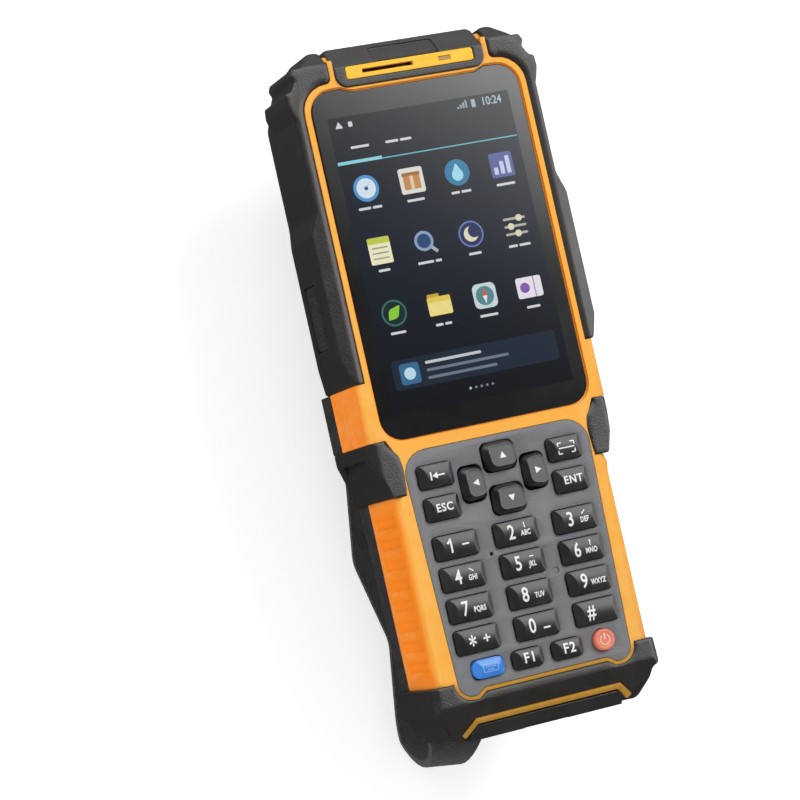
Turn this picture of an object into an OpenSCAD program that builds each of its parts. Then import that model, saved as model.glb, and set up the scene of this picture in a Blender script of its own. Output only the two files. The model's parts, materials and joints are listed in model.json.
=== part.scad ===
// Portable barcode data terminal: a rugged hand-held computer with a touch screen,
// a keypad, a scanner head at its top end and an elastic hand strap on its back.
//
// Everything is drawn in the display's frame: X to the right, Y towards the scanner
// end, Z out of the screen, with the origin in the middle of the lit picture on the
// outer face of the glass. placed() then moves it so that the origin is the middle of
// the whole object on the surface it lies on.

/* [Display] */
// Width of the lit picture
screen_w = 49; // [42:0.5:60]
// Height of the lit picture
screen_h = 73.4; // [60:0.2:90]
// Glass left and right of the picture
glass_side = 3.2; // [2:0.1:6]
// Glass above the picture
glass_above = 5.5; // [3:0.1:12]
// Glass below the picture
glass_below = 6.8; // [3:0.1:12]
// Thickness of the touch glass
glass_t = 1.2; // [0.8:0.1:2]
// Thickness of the display module
lcd_t = 2.7; // [1.8:0.1:3.6]

/* [Case] */
// Width of the coloured rim round the glass
rim_w = 1.4; // [1:0.1:3]
// Height of the rim above the glass
rim_h = 0.3; // [0.1:0.1:0.8]
// Depth of the case behind the glass
case_d = 28; // [25:0.5:36]
// Depth at which the front and rear housings meet
split_d = 20; // [17:0.5:23]
// Wall of both housings
wall = 2; // [1.6:0.1:2.6]
// Bare case between the glass and the keypad panel
bridge = 3.4; // [2.5:0.1:8]
// How far the bare shoulders stand out beyond the upper case
shoulder_out = 2.4; // [1.5:0.1:4]
// Distance from the bottom of the glass up to the top of the shoulders
shoulder_up = 15; // [8:0.5:20]

/* [Grip and keypad panel] */
// Case left and right of the keypad panel
grip_side = 3.7; // [3:0.1:6]
// Panel left and right of the digit keys
panel_side = 3; // [2.4:0.1:5]
// How far each side of the panel draws in towards its bottom
panel_taper = 1.7; // [0:0.1:2.4]
// Panel below the last row of keys
panel_foot = 4.3; // [3.6:0.1:8]
// Thickness of the keypad panel
panel_t = 2; // [1.6:0.1:2.4]
// Number of finger ribs on each flank of the grip
rib_count = 8; // [4:1:10]

/* [Keys] */
// Width of a digit key
key_w = 11.6; // [9:0.1:12.5]
// Height of a digit key
key_h = 5.9; // [4.5:0.1:6.4]
// Space between the key columns
column_gap = 4.4; // [2:0.1:6]
// Space between the digit rows
row_gap = 1.84; // [1.2:0.02:3]
// Height of the keys above the panel
key_up = 1.7; // [1:0.1:2.4]
// Key travel
key_travel = 0.8; // [0.3:0.1:1]
// Gap round each key
key_gap = 0.2; // [0.1:0.05:0.3]

/* [Rubber] */
// Thickness of the side bumpers
bumper_t = 4.7; // [3.5:0.1:6]
// Height of the rubber above the rim
rubber_h = 0.5; // [0.2:0.1:1]
// Width of the scanner hood
hood_w = 39.8; // [34:0.2:46]
// Length of the scanner hood
hood_l = 11; // [9:0.5:14]
// Length of the side pads
pad_l = 14; // [10:0.5:16]
// How far the bottom bumper's corners stand out below the port cover
foot_over = 0.8; // [0:0.1:4]
// Fit between the rubber pieces and the case
rubber_gap = 0.05; // [0.03:0.01:0.1]

/* [Side buttons] */
// Length of the left scan button
left_button_l = 16; // [12:0.5:20]
// Length of the right scan button
right_button_l = 22; // [16:0.5:24]
// Height of both side buttons
side_button_h = 7.5; // [5:0.5:8.5]
// Travel of the side buttons
side_travel = 0.6; // [0.3:0.1:0.8]

/* [Battery and strap] */
// Case left and right of the battery
battery_side = 5.5; // [4.4:0.1:8]
// Distance from the top of the battery down to the top of the shoulders
battery_up = 6.5; // [2:0.5:10]
// Space between the boards and the battery's bay
stack_gap = 3.7; // [1:0.1:5]
// Width of the hand strap
strap_w = 30; // [20:1:36]
// Width of the strap's narrow lower tongue
tongue_w = 14; // [10:0.5:15]
// Thickness of the strap
strap_t = 1.8; // [1.2:0.1:2.4]
// Hand room between the back and the strap
hand_room = 30.2; // [24:0.2:40]
// Slant of the strap across the back
strap_lean = 8; // [4:0.5:9]

/* [Hidden] */
$fn = 48;

// Colours
amber = [0.98, 0.66, 0.20];
charcoal = [0.17, 0.17, 0.18];
panel_grey = [0.42, 0.42, 0.44];
key_black = [0.08, 0.08, 0.09];
board_green = [0.05, 0.35, 0.20];
steel = [0.72, 0.73, 0.75];

// Fits
seat_gap = 0.15;      // hard pieces laid into pockets
slide_gap = 0.2;      // side buttons in the rubber
face_gap = 0.3;       // pieces that only lie near each other
bore_gap = 0.05;      // the cover on its pin, the screws in their bosses

// Glass and upper case
glass_w = screen_w + 2 * glass_side;
glass_top = screen_h / 2 + glass_above;
glass_low = -screen_h / 2 - glass_below;
glass_h = glass_top - glass_low;
glass_mid = (glass_top + glass_low) / 2;
glass_r = 5.5;
glass_dip = 1.2;                                // how far the glass's top edge drops between its corners
rim_gap = 0.5;                                  // dark joint between glass and rim
upper_x = glass_w / 2 + rim_gap + rim_w;        // half width of the upper case
upper_top = glass_top + rim_gap + rim_w - 0.9;  // top of the upper case under the hood
glass_corner = glass_top + 0.75 * glass_dip;
corner_top = glass_corner + rim_gap + rim_w - 0.1;
fin_w = 1.25;                                   // coloured lines beside the hood
hood_x = hood_w / 2;
neck_x = hood_x + fin_w + rubber_gap;           // half width of the neck under the hood
upper_r = min(glass_r + rim_w, upper_x - neck_x);
fin_r = 0.9 * (upper_x - upper_r - neck_x);     // fillet between a fin and the upper case
hood_r = 3;                                     // fillet between a fin and the hood
display_t = glass_t + lcd_t;
flange = key_gap + 0.15;
flange_t = 0.8;
bump_h = 0.15;                                  // the mat's bump under a key, least height
key_reach = panel_t + flange_t + key_travel + bump_h;
plate_t = max(display_t, key_reach + bump_h);   // depth of the front plate
lcd_w = glass_w - 3;
lcd_h = glass_h - 3.4;
bracket_t = 1.2;
bracket_x = upper_x - wall - 0.4;
bracket_h = lcd_h + 0.8;
bracket_top = glass_mid + bracket_h / 2;

// Panel, from the keys on it
column_pitch = key_w + column_gap;
row_pitch = key_h + row_gap;
rows_top = 21.45;                               // from the panel's top to the digit keys
foot_gap = 4.23;                                // from the last digit keys to the foot row
panel_w = 2 * column_pitch + key_w + 2 * panel_side;
panel_low_w = panel_w - 2 * panel_taper;
panel_l = rows_top + key_h + 3 * row_pitch + foot_gap + panel_foot;

// Shoulders, pads and grip
grip_x = panel_w / 2 + grip_side;
shoulder_x = max(upper_x + shoulder_out, grip_x + 3.5);
shoulder_top = glass_low + shoulder_up;
panel_top = glass_low - bridge;
panel_low = panel_top - panel_l;
ear_h = 1.5;                                    // the panel's lower ears below its edge
pad_top = panel_top + 3.9;
pad_low = pad_top - pad_l;
pad_x = max(grip_x - 0.3, upper_x - 1.4);       // half width of the case under the side pads
pad_step = pad_x > grip_x ? 1 : -1;             // which way the case steps below the pads
pad_foot = max(grip_x + 0.7, pad_x + 1);        // half width of the pads at their bottom
line_w = 1;                                     // coloured line round the panel's foot
grip_low = panel_low + 2.2;
foot_x = grip_x - 2.5;                          // half width of the case in the foot
foot_y = panel_low - 6;
rubber_top = rim_h + rubber_h;
rear_z = -case_d;
split_z = -split_d;

// Neck under the hood, and the strip let into the hood
neck_top = upper_top + hood_l - 3.7;
neck_plate_t = 1.3;
hood_top = upper_top + hood_l;
hood_low = upper_top + 0.1;
strip_y = hood_low + 3.5;
strip_w = hood_w - 5.8;
strip_h = 3.2;
hood_slope = hood_top - strip_y - strip_h / 2;  // the slope starts behind the strip

// Keypad
key_row1 = panel_top - 6.8;
key_row2 = panel_top - 14.8;
digit_row1 = panel_top - rows_top - key_h / 2;
foot_row = digit_row1 - 3 * row_pitch - key_h / 2 - foot_gap;
mat_t = 1;
keypad_board_t = 1.2;
mat_z = -plate_t;
keypad_board_z = mat_z - mat_t;

// Inner stack
bracket_z = -plate_t - bracket_t;
board_z = bracket_z - 3.4;
board_t = 1.2;
can_h = 2.3;
board_w = 2 * (upper_x - 7.6);
board_top = glass_top - 14.2;
board_low = glass_low + 3;

// Strap bars and their pockets
bar_r = 1.3;
bar_in = 2.2;                                   // from the back to the middle of a bar
strap_pivot = -20;
bar_z = rear_z + bar_in;
bar_top_y = upper_top - 21;
bar_low_y = grip_low + 6;
pocket_l = 10;
pocket_wall = 1.5;
pocket_d = bar_in + bar_r + bore_gap + strap_t + 0.65;
pocket_roof = rear_z + pocket_d + pocket_wall;
low_pocket_w = tongue_w + 2;
low_pocket_top = strap_pivot + (bar_low_y + pocket_l / 2 - strap_pivot) * cos(strap_lean)
    + low_pocket_w / 2 * sin(strap_lean);

// Battery, between the boards and the door
door_t = 1.6;
door_rim = 0.8;                                 // the door's edge beyond the bay's wall
battery_z = rear_z + door_t + 0.2;
bay_floor_t = 1.2;
bay_wall = 1.2;
bay_z = board_z - board_t - can_h - stack_gap - bay_floor_t;
battery_t = bay_z - face_gap - battery_z;
battery_w = 2 * (min(upper_x, grip_x) - battery_side);
bay_x = battery_w / 2 + face_gap + bay_wall;
battery_top = shoulder_top + battery_up;
bay_top = battery_top + face_gap + bay_wall;
bay_low = low_pocket_top + 0.68 + door_rim;
battery_low = bay_low + face_gap + bay_wall;

// Side bumpers
bumper_x = upper_x + bumper_t;
bumper_low = shoulder_top + rubber_gap;
bumper_back = rear_z + 2;
bumper_slope = split_z + 2;                     // where the side starts to slope in
back_x = upper_x + 0.9;
slope_rise = (bumper_slope - bumper_back) / (bumper_x - back_x);
corner_w = bumper_x - neck_x;
side_button_z = -11.2;
left_button_y = -10;
right_button_y = -3;
waist_x = bumper_x - 1.9;                       // narrower side between the corner and the buttons
waist_low = right_button_y + right_button_l / 2 + 6;

// Port, cover and hinge in the foot
lip_z = -2.6;
lip_t = 1.2;
lip_x = 19.6;                                   // half width up to where the lip turns down
lip_y = foot_y - 2.5;
arm = 3.3;                                      // how far the lip's slanted ends reach
fall_y = foot_y + 3.2;                          // where the front starts to fall back
cover_x = 20.6;
cover_front = lip_z - lip_t - face_gap;
cover_back = rear_z + 6.1;
cover_in = lip_y - 0.4;
cover_out = cover_in - 3.7;
hinge_y = cover_in - 1.9;
hinge_z = cover_back - 1.3;
pin_r = 0.6;
knuckle_r = 1.3;
knuckle_x = 8;
ear_w = 3;
port_w = 18;
port_h = 4.4;
port_z = cover_back + 6.4;
foot_low = cover_out - foot_over;
foot_side = grip_x + 1.6;

// Screws
screw_r = 1;
screw_head_r = 1.9;
screw_head_t = 1.4;
boss_r = 2.2;
screws = [[upper_x - 4.6, glass_top - 20.2],
          [shoulder_x - 3.5, shoulder_top - 4.6],
          [grip_x - 6.5, panel_low + 6]];
screw_z = rear_z + 1.1;                         // outer face of the screw heads
standoffs = [[board_w / 2 - 3, board_top - 4], [board_w / 2 - 3, glass_low + 6.5]];
standoff_r = 1.5;

// Scanner, camera and sound
engine_w = 24;
engine_l = 17;
engine_d = 10;
engine_z = board_z - 0.5;
window_x = 13.5;
window_back = engine_z - engine_d + 0.5;
window_front = engine_z + 0.5;
camera_w = 8.5;
camera_x = upper_x - wall - camera_w / 2 - 4.45;
camera_y = upper_top - wall - 4.8;
lens_r = 4;
speaker_w = 16;
speaker_x = speaker_w / 2 + 2.7 + wall - upper_x;
speaker_h = 8;
speaker_t = min(4, engine_z - engine_d - face_gap - rear_z - wall);
receiver_x = -5.9;
receiver_w = 13.6;
led_x = 9.35;
led_w = 3.1;
earpiece_low = strip_y - 3.4;

// Strap
run_z = rear_z - hand_room - strap_t / 2;       // middle of the strap's outer run
bend_r = 13;
bend_y = foot_low + 6.5;
loop_r = bar_r + bore_gap + strap_t / 2;
ramp_heading = 230;                             // heading of the upper ramp in the YZ plane
ramp_bend = 15;                                 // radius between the ramp and the run
tongue_end = bend_y - bend_r - strap_t / 2;

// The whole object's middle and height
lift = -(run_z - strap_t / 2);
middle_y = (hood_top + tongue_end) / 2;

module placed() {
    translate([0, -middle_y, lift]) children();
}

// ---------- outlines ----------

function unit(v) = v / norm(v);

// The arc that rounds the corner p between its neighbours a and b
function corner(p, a, b, r, steps) =
    r <= 0 ? [p] :
    let (u = unit(a - p),
         v = unit(b - p),
         half = acos(u * v) / 2,
         c = p + unit(u + v) * r / sin(half),
         s = p + u * r / tan(half) - c,
         e = p + v * r / tan(half) - c,
         a0 = atan2(s.y, s.x),
         turn = (atan2(e.y, e.x) - a0 + 540) % 360 - 180)
    [for (i = [0 : steps]) c + r * [cos(a0 + turn * i / steps), sin(a0 + turn * i / steps)]];

// A closed outline from corners given as [x, y, radius]
function rounded(pts, steps = 6) =
    [for (i = [0 : len(pts) - 1])
        let (n = len(pts),
             p = pts[i],
             a = pts[(i + n - 1) % n],
             b = pts[(i + 1) % n])
        each corner([p.x, p.y], [a.x, a.y], [b.x, b.y], p[2], steps)];

// Adds the mirror image of a right half, listed from top to bottom
function both(half) =
    concat(half, [for (i = [len(half) - 1 : -1 : 0]) [-half[i].x, half[i].y, half[i][2]]]);

function box_pts(w, h, r, cx = 0, cy = 0) =
    rounded([[cx - w / 2, cy - h / 2, r], [cx + w / 2, cy - h / 2, r],
             [cx + w / 2, cy + h / 2, r], [cx - w / 2, cy + h / 2, r]]);

// Height at which the foot's front falls back at y
function fall(y) = rubber_top + 0.1 - (fall_y - y) * (rubber_top + 0.1 - lip_z - rubber_gap) / 4.4;

// Outline of the case, drawn k inside its outer face
function case_pts(k) = rounded(both([
    [neck_x - k, neck_top - k, 0],
    [neck_x - k, corner_top - k, fin_r],
    [upper_x - k, corner_top - k, upper_r - k],
    [upper_x - k, shoulder_top - k, 0],
    [shoulder_x - k, shoulder_top - k, 0],
    [shoulder_x - k, pad_top + k, 0],
    [pad_x - k, pad_top + k, 0],
    [pad_x - k, pad_low + pad_step * k, 0],
    [grip_x - k, pad_low + pad_step * k, 0],
    [grip_x - k, grip_low + k, 0],
    [foot_x - k, grip_low + k, 0],
    [foot_x - k, foot_y + k, max(4 - k, 0.5)]]));

// Outline of the keypad panel, drawn k outside its edge
function panel_pts(k) = rounded(both([
    [panel_w / 2 + k, panel_top + k, 6 + k],
    [panel_low_w / 2 + k, panel_low - ear_h - k, 3.4 + k],
    [panel_low_w / 2 - 4.3 - 0.35 * k, panel_low - ear_h - k, 1],
    [panel_low_w / 2 - 6.5 - 0.35 * k, panel_low - k, 1]]));

// Outline of the glass, drawn k outside its edge
function glass_pts(k) = rounded(both([
    [hood_x - 3.5, glass_top + k, 2.5],
    [hood_x - 0.7 + 0.4 * k, glass_top + glass_dip - 0.1 + k, 0.7],
    [glass_w / 2 + k, glass_corner + k, glass_r + k],
    [glass_w / 2 + k, glass_low - k, glass_r + k]]));

module slab(pts, z0, z1) {
    translate([0, 0, z0]) linear_extrude(z1 - z0) polygon(pts);
}

// A prism along Y from y0 to y1, drawn by its [x, z] section
module prism_y(pts, y0, y1) {
    translate([0, y1, 0]) rotate([90, 0, 0]) linear_extrude(y1 - y0) polygon(pts);
}

// A prism along X over |x| < half, drawn by its [y, z] section
module prism_x(pts, half) {
    translate([-half, 0, 0]) rotate([90, 0, 90]) linear_extrude(2 * half) polygon(pts);
}

module rod_x(r, x0, x1, y, z) {
    translate([x0, y, z]) rotate([0, 90, 0]) cylinder(r = r, h = x1 - x0);
}

module block(x0, x1, y0, y1, z0, z1) {
    translate([x0, y0, z0]) cube([x1 - x0, y1 - y0, z1 - z0]);
}

module at_both(points) {
    for (p = points, side = [-1, 1]) translate([side * p.x, p.y, 0]) children();
}

// ---------- keys ----------

// Every key as [name, x, y, width, height, corner radius, extra height]
arrow_y = panel_top - 10.6;
edge_in = 12.75;                                // inner edge of the outer keys beside the arrows
edge_out = column_pitch + key_w / 2 + 0.05;
edge_x = (edge_in + edge_out) / 2;
edge_w = edge_out - edge_in;
foot_left = 1.2 - column_pitch;
foot_span = 2 * column_pitch - 0.9;             // from the input key to the power key
foot_w = (foot_span - 6.5) / 3;
keys = [
    ["key_back", -edge_x, key_row1, edge_w, 5.7, 1, 0],
    ["key_escape", -edge_x, key_row2, edge_w, 5.7, 1, 0],
    ["key_scan", edge_x, key_row1, edge_w, 5.7, 1, 0],
    ["key_enter", edge_x, key_row2, edge_w, 5.7, 1, 0],
    ["key_up_arrow", 0, arrow_y + 5.3, 8.8, 7.2, 1.6, 0.8],
    ["key_down_arrow", 0, arrow_y - 5.3, 8.8, 7.2, 1.6, 0.8],
    ["key_left_arrow", -8.3, arrow_y, 6.2, 9, 1.6, 0.8],
    ["key_right_arrow", 8.3, arrow_y, 6.2, 9, 1.6, 0.8],
    for (i = [1 : 9])
        [str("key_", i), ((i - 1) % 3 - 1) * column_pitch,
         digit_row1 - floor((i - 1) / 3) * row_pitch, key_w, key_h, 1, 0],
    ["key_star", -column_pitch, digit_row1 - 3 * row_pitch, key_w, key_h, 1, 0],
    ["key_0", 0, digit_row1 - 3 * row_pitch, key_w, key_h, 1, 0],
    ["key_hash", column_pitch, digit_row1 - 3 * row_pitch, key_w, key_h, 1, 0],
    ["key_input", foot_left, foot_row, foot_w + 0.2, 4.6, 1.4, 0],
    ["key_f1", foot_left + foot_w + 2.35, foot_row, foot_w, 4.6, 1.4, 0],
    ["key_f2", foot_left + 2 * foot_w + 4.8, foot_row, foot_w, 4.6, 1.4, 0],
    ["key_power", foot_left + foot_span, foot_row, 5.4, 5.4, 2.69, 0]];

function key_pts(k, grow) = box_pts(k[3] + 2 * grow, k[4] + 2 * grow, k[5] + grow, k[1], k[2]);

module keycap(k) {
    crown = 0.7;
    top = key_up + k[6];
    slab(key_pts(k, 0), -panel_t, rim_h + top - crown);
    slab(key_pts(k, -0.45), rim_h + top - crown, rim_h + top);
    slab(key_pts(k, flange), -panel_t - flange_t, -panel_t);
}

// ---------- housings ----------

// Side profile of the hood in [y, z], drawn k inside its outer face
function hood_profile(k) = [
    [hood_low, rubber_top - k], [hood_top - hood_slope, rubber_top - k],
    [hood_top - k, rubber_top - hood_slope], [hood_top - k, rear_z + 6],
    [hood_top - 3 - k, rear_z + 2], [hood_low, rear_z + 2]];

// Outline of the hood from above, drawn k outside its edge
function hood_pts(k) =
    rounded(both([[hood_x + k, hood_top + 5, 0], [hood_x + k, hood_low - k, hood_r + k]]));

// Room inside both housings, from z0 to z1
module cavity(z0, z1) {
    slab(case_pts(wall), z0, z1);
}

module screw_holes(z0, z1) {
    at_both(screws) translate([0, 0, z0]) cylinder(r = screw_r + bore_gap, h = z1 - z0);
}

module seal_groove() {
    difference() {
        slab(case_pts(0.5), split_z - 0.5, split_z + 0.5);
        slab(case_pts(1.4), split_z - 1, split_z + 1);
    }
}

module grip_ribs(side) {
    pitch = (pad_low - grip_low - 6) / rib_count;
    for (i = [0 : rib_count - 1])
        translate([side * (grip_x + 1.7), pad_low - 3 - pitch * (i + 0.5), split_z + 2.5])
            cylinder(r = 2.2, h = split_d - 5.5);
}

module front_shell() {
    slab(case_pts(0), split_z, -plate_t);
    difference() {
        slab(case_pts(0), -plate_t, rim_h);
        block(-50, 50, foot_y - 5, grip_low, -plate_t - 1, rim_h + 1);
    }
    slab(panel_pts(line_w), -plate_t, rim_h);
    for (side = [-1, 1])
        translate([side * (neck_x + hood_x + rubber_gap) / 2, 0, 0]) intersection() {
            prism_x(hood_profile(rubber_h), (neck_x - hood_x - rubber_gap) / 2);
            block(-50, 50, upper_top - 1, hood_top - 2, split_z, rim_h);
        }
    lip();
}

module hood_seat() {
    slab(hood_pts(rubber_gap), -plate_t, rim_h + 1);
}

module front_housing() {
    color(amber) difference() {
        union() {
            difference() {
                front_shell();
                cavity(split_z - 1, -plate_t);
                hood_seat();
            }
            // the bosses stand clear of the strap pockets
            boss_z = max(split_z, pocket_roof + face_gap);
            at_both(screws) translate([0, 0, boss_z]) cylinder(r = boss_r, h = -plate_t - boss_z);
            // the neck's plate, and the posts that carry the scan engine
            block(-neck_x + 0.5, neck_x - 0.5, bracket_top + face_gap, neck_top - 0.5,
                  -plate_t - neck_plate_t, -plate_t);
            for (side = [-1, 1])
                translate([side * 9.5, (bracket_top + earpiece_low) / 2, engine_z])
                    cylinder(r = 1, h = -engine_z - plate_t);
        }
        slab(glass_pts(seat_gap), -glass_t, rim_h + 1);
        slab(glass_pts(rim_gap), -0.4, rim_h + 1);
        slab(box_pts(lcd_w + 2 * seat_gap, lcd_h + 2 * seat_gap, 1, 0, glass_mid),
             -plate_t - 1, -glass_t + 1);
        slab(panel_pts(seat_gap), -panel_t, rim_h + 1);
        slab(panel_pts(-1.1), -plate_t - 1, -panel_t + 1);
        pad_flap(1, rubber_gap);
        pad_flap(-1, rubber_gap);
        screw_holes(split_z - 1, -plate_t - 2);
        seal_groove();
        grip_ribs(1);
        grip_ribs(-1);
        rod_x(1.18, -upper_x - 1, -upper_x + wall + 1, left_button_y, side_button_z);
        rod_x(1.18, upper_x - wall - 1, upper_x + 1, right_button_y, side_button_z);
        block(-port_w / 2, port_w / 2, foot_y - 1, foot_y + wall + 1,
              port_z - port_h / 2, port_z + port_h / 2);
        block(-window_x, window_x, neck_top - wall - 1, neck_top + 1, window_back, window_front);
        translate([receiver_x, strip_y, -plate_t - 1]) cube([8, 1, 4], center = true);
        translate([led_x, strip_y, -plate_t - 3]) cylinder(r = 1.2, h = 5);
    }
}

// Pocket in the back for one strap bar, and the bar across it
module strap_pocket(y, w) {
    strap_frame() block(-w / 2, w / 2, y - pocket_l / 2, y + pocket_l / 2,
                        rear_z - 1, rear_z + pocket_d);
}

module strap_bar(y, w) {
    strap_frame() rod_x(bar_r, -w / 2 - 0.5, w / 2 + 0.5, y, bar_z);
}

module strap_frame() {
    translate([0, strap_pivot, 0]) rotate([0, 0, -strap_lean]) translate([0, -strap_pivot, 0])
        children();
}

module rear_housing() {
    upper_pocket = strap_w + 3;
    color(charcoal) {
        difference() {
            union() {
                difference() {
                    slab(case_pts(0), rear_z, split_z);
                    cavity(rear_z + wall, split_z + 1);
                }
                strap_frame() block(-upper_pocket / 2 - pocket_wall, upper_pocket / 2 + pocket_wall,
                    bar_top_y - pocket_l / 2 - pocket_wall, bar_top_y + pocket_l / 2 + pocket_wall,
                    rear_z + 1, rear_z + pocket_d + pocket_wall);
                strap_frame() block(-low_pocket_w / 2 - pocket_wall, low_pocket_w / 2 + pocket_wall,
                    bar_low_y - pocket_l / 2 - pocket_wall, bar_low_y + pocket_l / 2 + pocket_wall,
                    rear_z + 1, rear_z + pocket_d + pocket_wall);
                block(-bay_x, bay_x, bay_low, bay_top, rear_z + 1, bay_z + bay_floor_t);
                at_both(screws)
                    translate([0, 0, rear_z]) cylinder(r = boss_r + 0.6, h = case_d - split_d);
            }
            block(-bay_x + bay_wall, bay_x - bay_wall, bay_low + bay_wall, bay_top - bay_wall,
                  rear_z - 1, bay_z);
            slab(door_pts(seat_gap), rear_z - 1, rear_z + door_t);
            strap_pocket(bar_top_y, upper_pocket);
            strap_pocket(bar_low_y, low_pocket_w);
            screw_holes(rear_z - 1, max(split_z, pocket_roof) + 1);
            at_both(screws)
                translate([0, 0, rear_z - 1]) cylinder(r = screw_head_r + bore_gap, h = screw_head_t + 2.1);
            seal_groove();
            translate([camera_x, camera_y, rear_z - 1]) cylinder(r = lens_r + bore_gap, h = 2);
            translate([camera_x, camera_y, rear_z]) cylinder(r = lens_r - 0.8, h = wall + 1);
            for (i = [-1 : 1])
                block(speaker_x - 5, speaker_x + 5, camera_y + 3 * i - 0.5, camera_y + 3 * i + 0.5,
                      rear_z - 1, rear_z + wall + 1);
        }
        strap_bar(bar_top_y, upper_pocket);
        strap_bar(bar_low_y, low_pocket_w);
    }
}

module housing_seal() {
    color("dimgray") difference() {
        slab(case_pts(0.55), split_z - 0.45, split_z + 0.45);
        slab(case_pts(1.35), split_z - 1, split_z + 1);
    }
}

module housing_screws() {
    color(steel) at_both(screws) difference() {
        union() {
            translate([0, 0, screw_z]) cylinder(r = screw_head_r, h = screw_head_t);
            translate([0, 0, screw_z]) cylinder(r = screw_r, h = -plate_t - 5 - screw_z);
        }
        translate([0, 0, screw_z - 0.5]) cube([0.5, 2.4, 2], center = true);
        translate([0, 0, screw_z - 0.5]) cube([2.4, 0.5, 2], center = true);
    }
}

// The coloured lip over the port cover, whose ends slant down round the cover's corners
module lip() {
    low = lip_y - arm + 0.4;
    block(-lip_x, lip_x, foot_y, foot_y + 1, -plate_t - 1, lip_z);
    intersection() {
        slab(rounded(both([[lip_x, foot_y + 1, 0], [lip_x, foot_y - 1.2, 0],
                   [lip_x + arm, foot_y - 1.2 - arm, 0], [lip_x + arm - 0.92, low, 0],
                   [lip_x - 0.54, lip_y, 0]])), lip_z - 9, lip_z);
        prism_x([[foot_y + 1, lip_z + 1], [foot_y - 1.6, lip_z + 1], [foot_y - 1.6, fall(foot_y - 1.6) + 0.4],
                 [low, fall(low) + 0.4], [low, fall(low) - lip_t], [foot_y - 2, lip_z - lip_t],
                 [foot_y + 1, lip_z - lip_t]], lip_x + 5);
    }
}

// ---------- rubber ----------

// Outline of the right bumper. Its top corner has a dome beside the hood and two lugs.
function bumper_pts() = rounded([
    [neck_x + rubber_gap, hood_top - 0.9, 1],
    [neck_x + 0.24 * corner_w, hood_top - 0.9, 1.2],
    [neck_x + 0.54 * corner_w, hood_top - 4.4, 0.4],
    [neck_x + 0.70 * corner_w, hood_top - 4.4, 0.6],
    [neck_x + 0.76 * corner_w, hood_top - 5.9, 0.6],
    [neck_x + 0.73 * corner_w, hood_top - 7.5, 0.4],
    [neck_x + 0.82 * corner_w, hood_top - 9.6, 0.3],
    [neck_x + 0.92 * corner_w, hood_top - 10, 0.6],
    [neck_x + 0.94 * corner_w, hood_top - 12.6, 1],
    [waist_x, hood_top - 16.8, 2],
    [waist_x, waist_low, 3],
    [bumper_x, waist_low - 5, 3],
    [bumper_x, bumper_low + 6, 4],
    [shoulder_x + 0.3, bumper_low, 0.4],
    [upper_x + rubber_gap, bumper_low, 0],
    [upper_x + rubber_gap, corner_top + rubber_gap, upper_r + rubber_gap],
    [neck_x + rubber_gap, corner_top + rubber_gap, fin_r]]);

// The right bumper, with the opening of a button of length l at height y
module bumper(y, l) {
    top = hood_top + 1;
    difference() {
        slab(bumper_pts(), bumper_back, rubber_top);
        block(upper_x - 1, bumper_x + 3, y - l / 2 - slide_gap, y + l / 2 + slide_gap,
              side_button_z - side_button_h / 2 - slide_gap,
              side_button_z + side_button_h / 2 + slide_gap);
        // the outer front edge is cut off, and the back of the side slopes in to the case
        prism_y([[bumper_x - 1.2, rubber_top], [bumper_x + 3, rubber_top - 4.2],
                 [bumper_x + 3, rubber_top + 1], [bumper_x - 1.2, rubber_top + 1]],
                bumper_low - 1, top);
        prism_y([[back_x, bumper_back], [bumper_x + 3, bumper_slope + 3 * slope_rise],
                 [bumper_x + 3, bumper_back - 1], [back_x, bumper_back - 1]],
                bumper_low - 1, top);
        // the top corner falls back towards the scanner
        prism_x([[hood_top - 5, rubber_top + 0.1], [top, rubber_top - 6.2], [top, rubber_top + 0.1]], 60);
    }
}

module bumper_right() {
    color(charcoal) bumper(right_button_y, right_button_l);
}

module bumper_left() {
    color(charcoal) mirror([1, 0, 0]) bumper(left_button_y, left_button_l);
}

module scanner_hood() {
    recess_w = 17;
    strip_cut = seat_gap;
    color(charcoal) difference() {
        intersection() {
            prism_x(hood_profile(0), hood_x);
            slab(hood_pts(0), rear_z, rubber_top + 1);
        }
        block(-hood_x - 1, hood_x + 1, hood_low - 1, neck_top + rubber_gap, rear_z, -plate_t + rubber_gap);
        // the window's seat and the opening before it
        block(-window_x - 1.5, window_x + 1.5, neck_top - 1, neck_top + 1.7,
              window_back - 1.5, window_front + 1.5);
        block(-window_x, window_x, neck_top, hood_top + 1, window_back, window_front);
        // the insert strip's pocket
        slab(box_pts(strip_w + 2 * strip_cut, strip_h + 2 * strip_cut, 0.8, 0, strip_y),
             rubber_top - 1.7, rubber_top + 1);
        translate([receiver_x, strip_y, -2]) cube([receiver_w, 1, 8], center = true);
        translate([led_x, strip_y, -2]) cube([led_w, 1, 8], center = true);
        // the thumb recess on the slope
        prism_x([[hood_top - hood_slope + 0.3, rubber_top - 1.2],
                 [hood_top - hood_slope + 0.3, rubber_top + 1],
                 [hood_top - 1.2, rubber_top - hood_slope + 4],
                 [hood_top - 1.2, rubber_top - hood_slope + 0.3]], recess_w / 2);
    }
}

// The flap of a side pad that lies on the case's front, grown by k
module pad_flap(side, k) {
    x0 = panel_w / 2 + 0.6;
    mirror([side < 0 ? 1 : 0, 0, 0])
        slab([[x0 - k, pad_low - k], [pad_x + 1, pad_low - k], [pad_x + 1, pad_top + k],
              [pad_x - 0.4, pad_top + k], [x0 - k, pad_top - 4.6]], rim_h - 2.4 - k, rubber_top);
}

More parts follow.
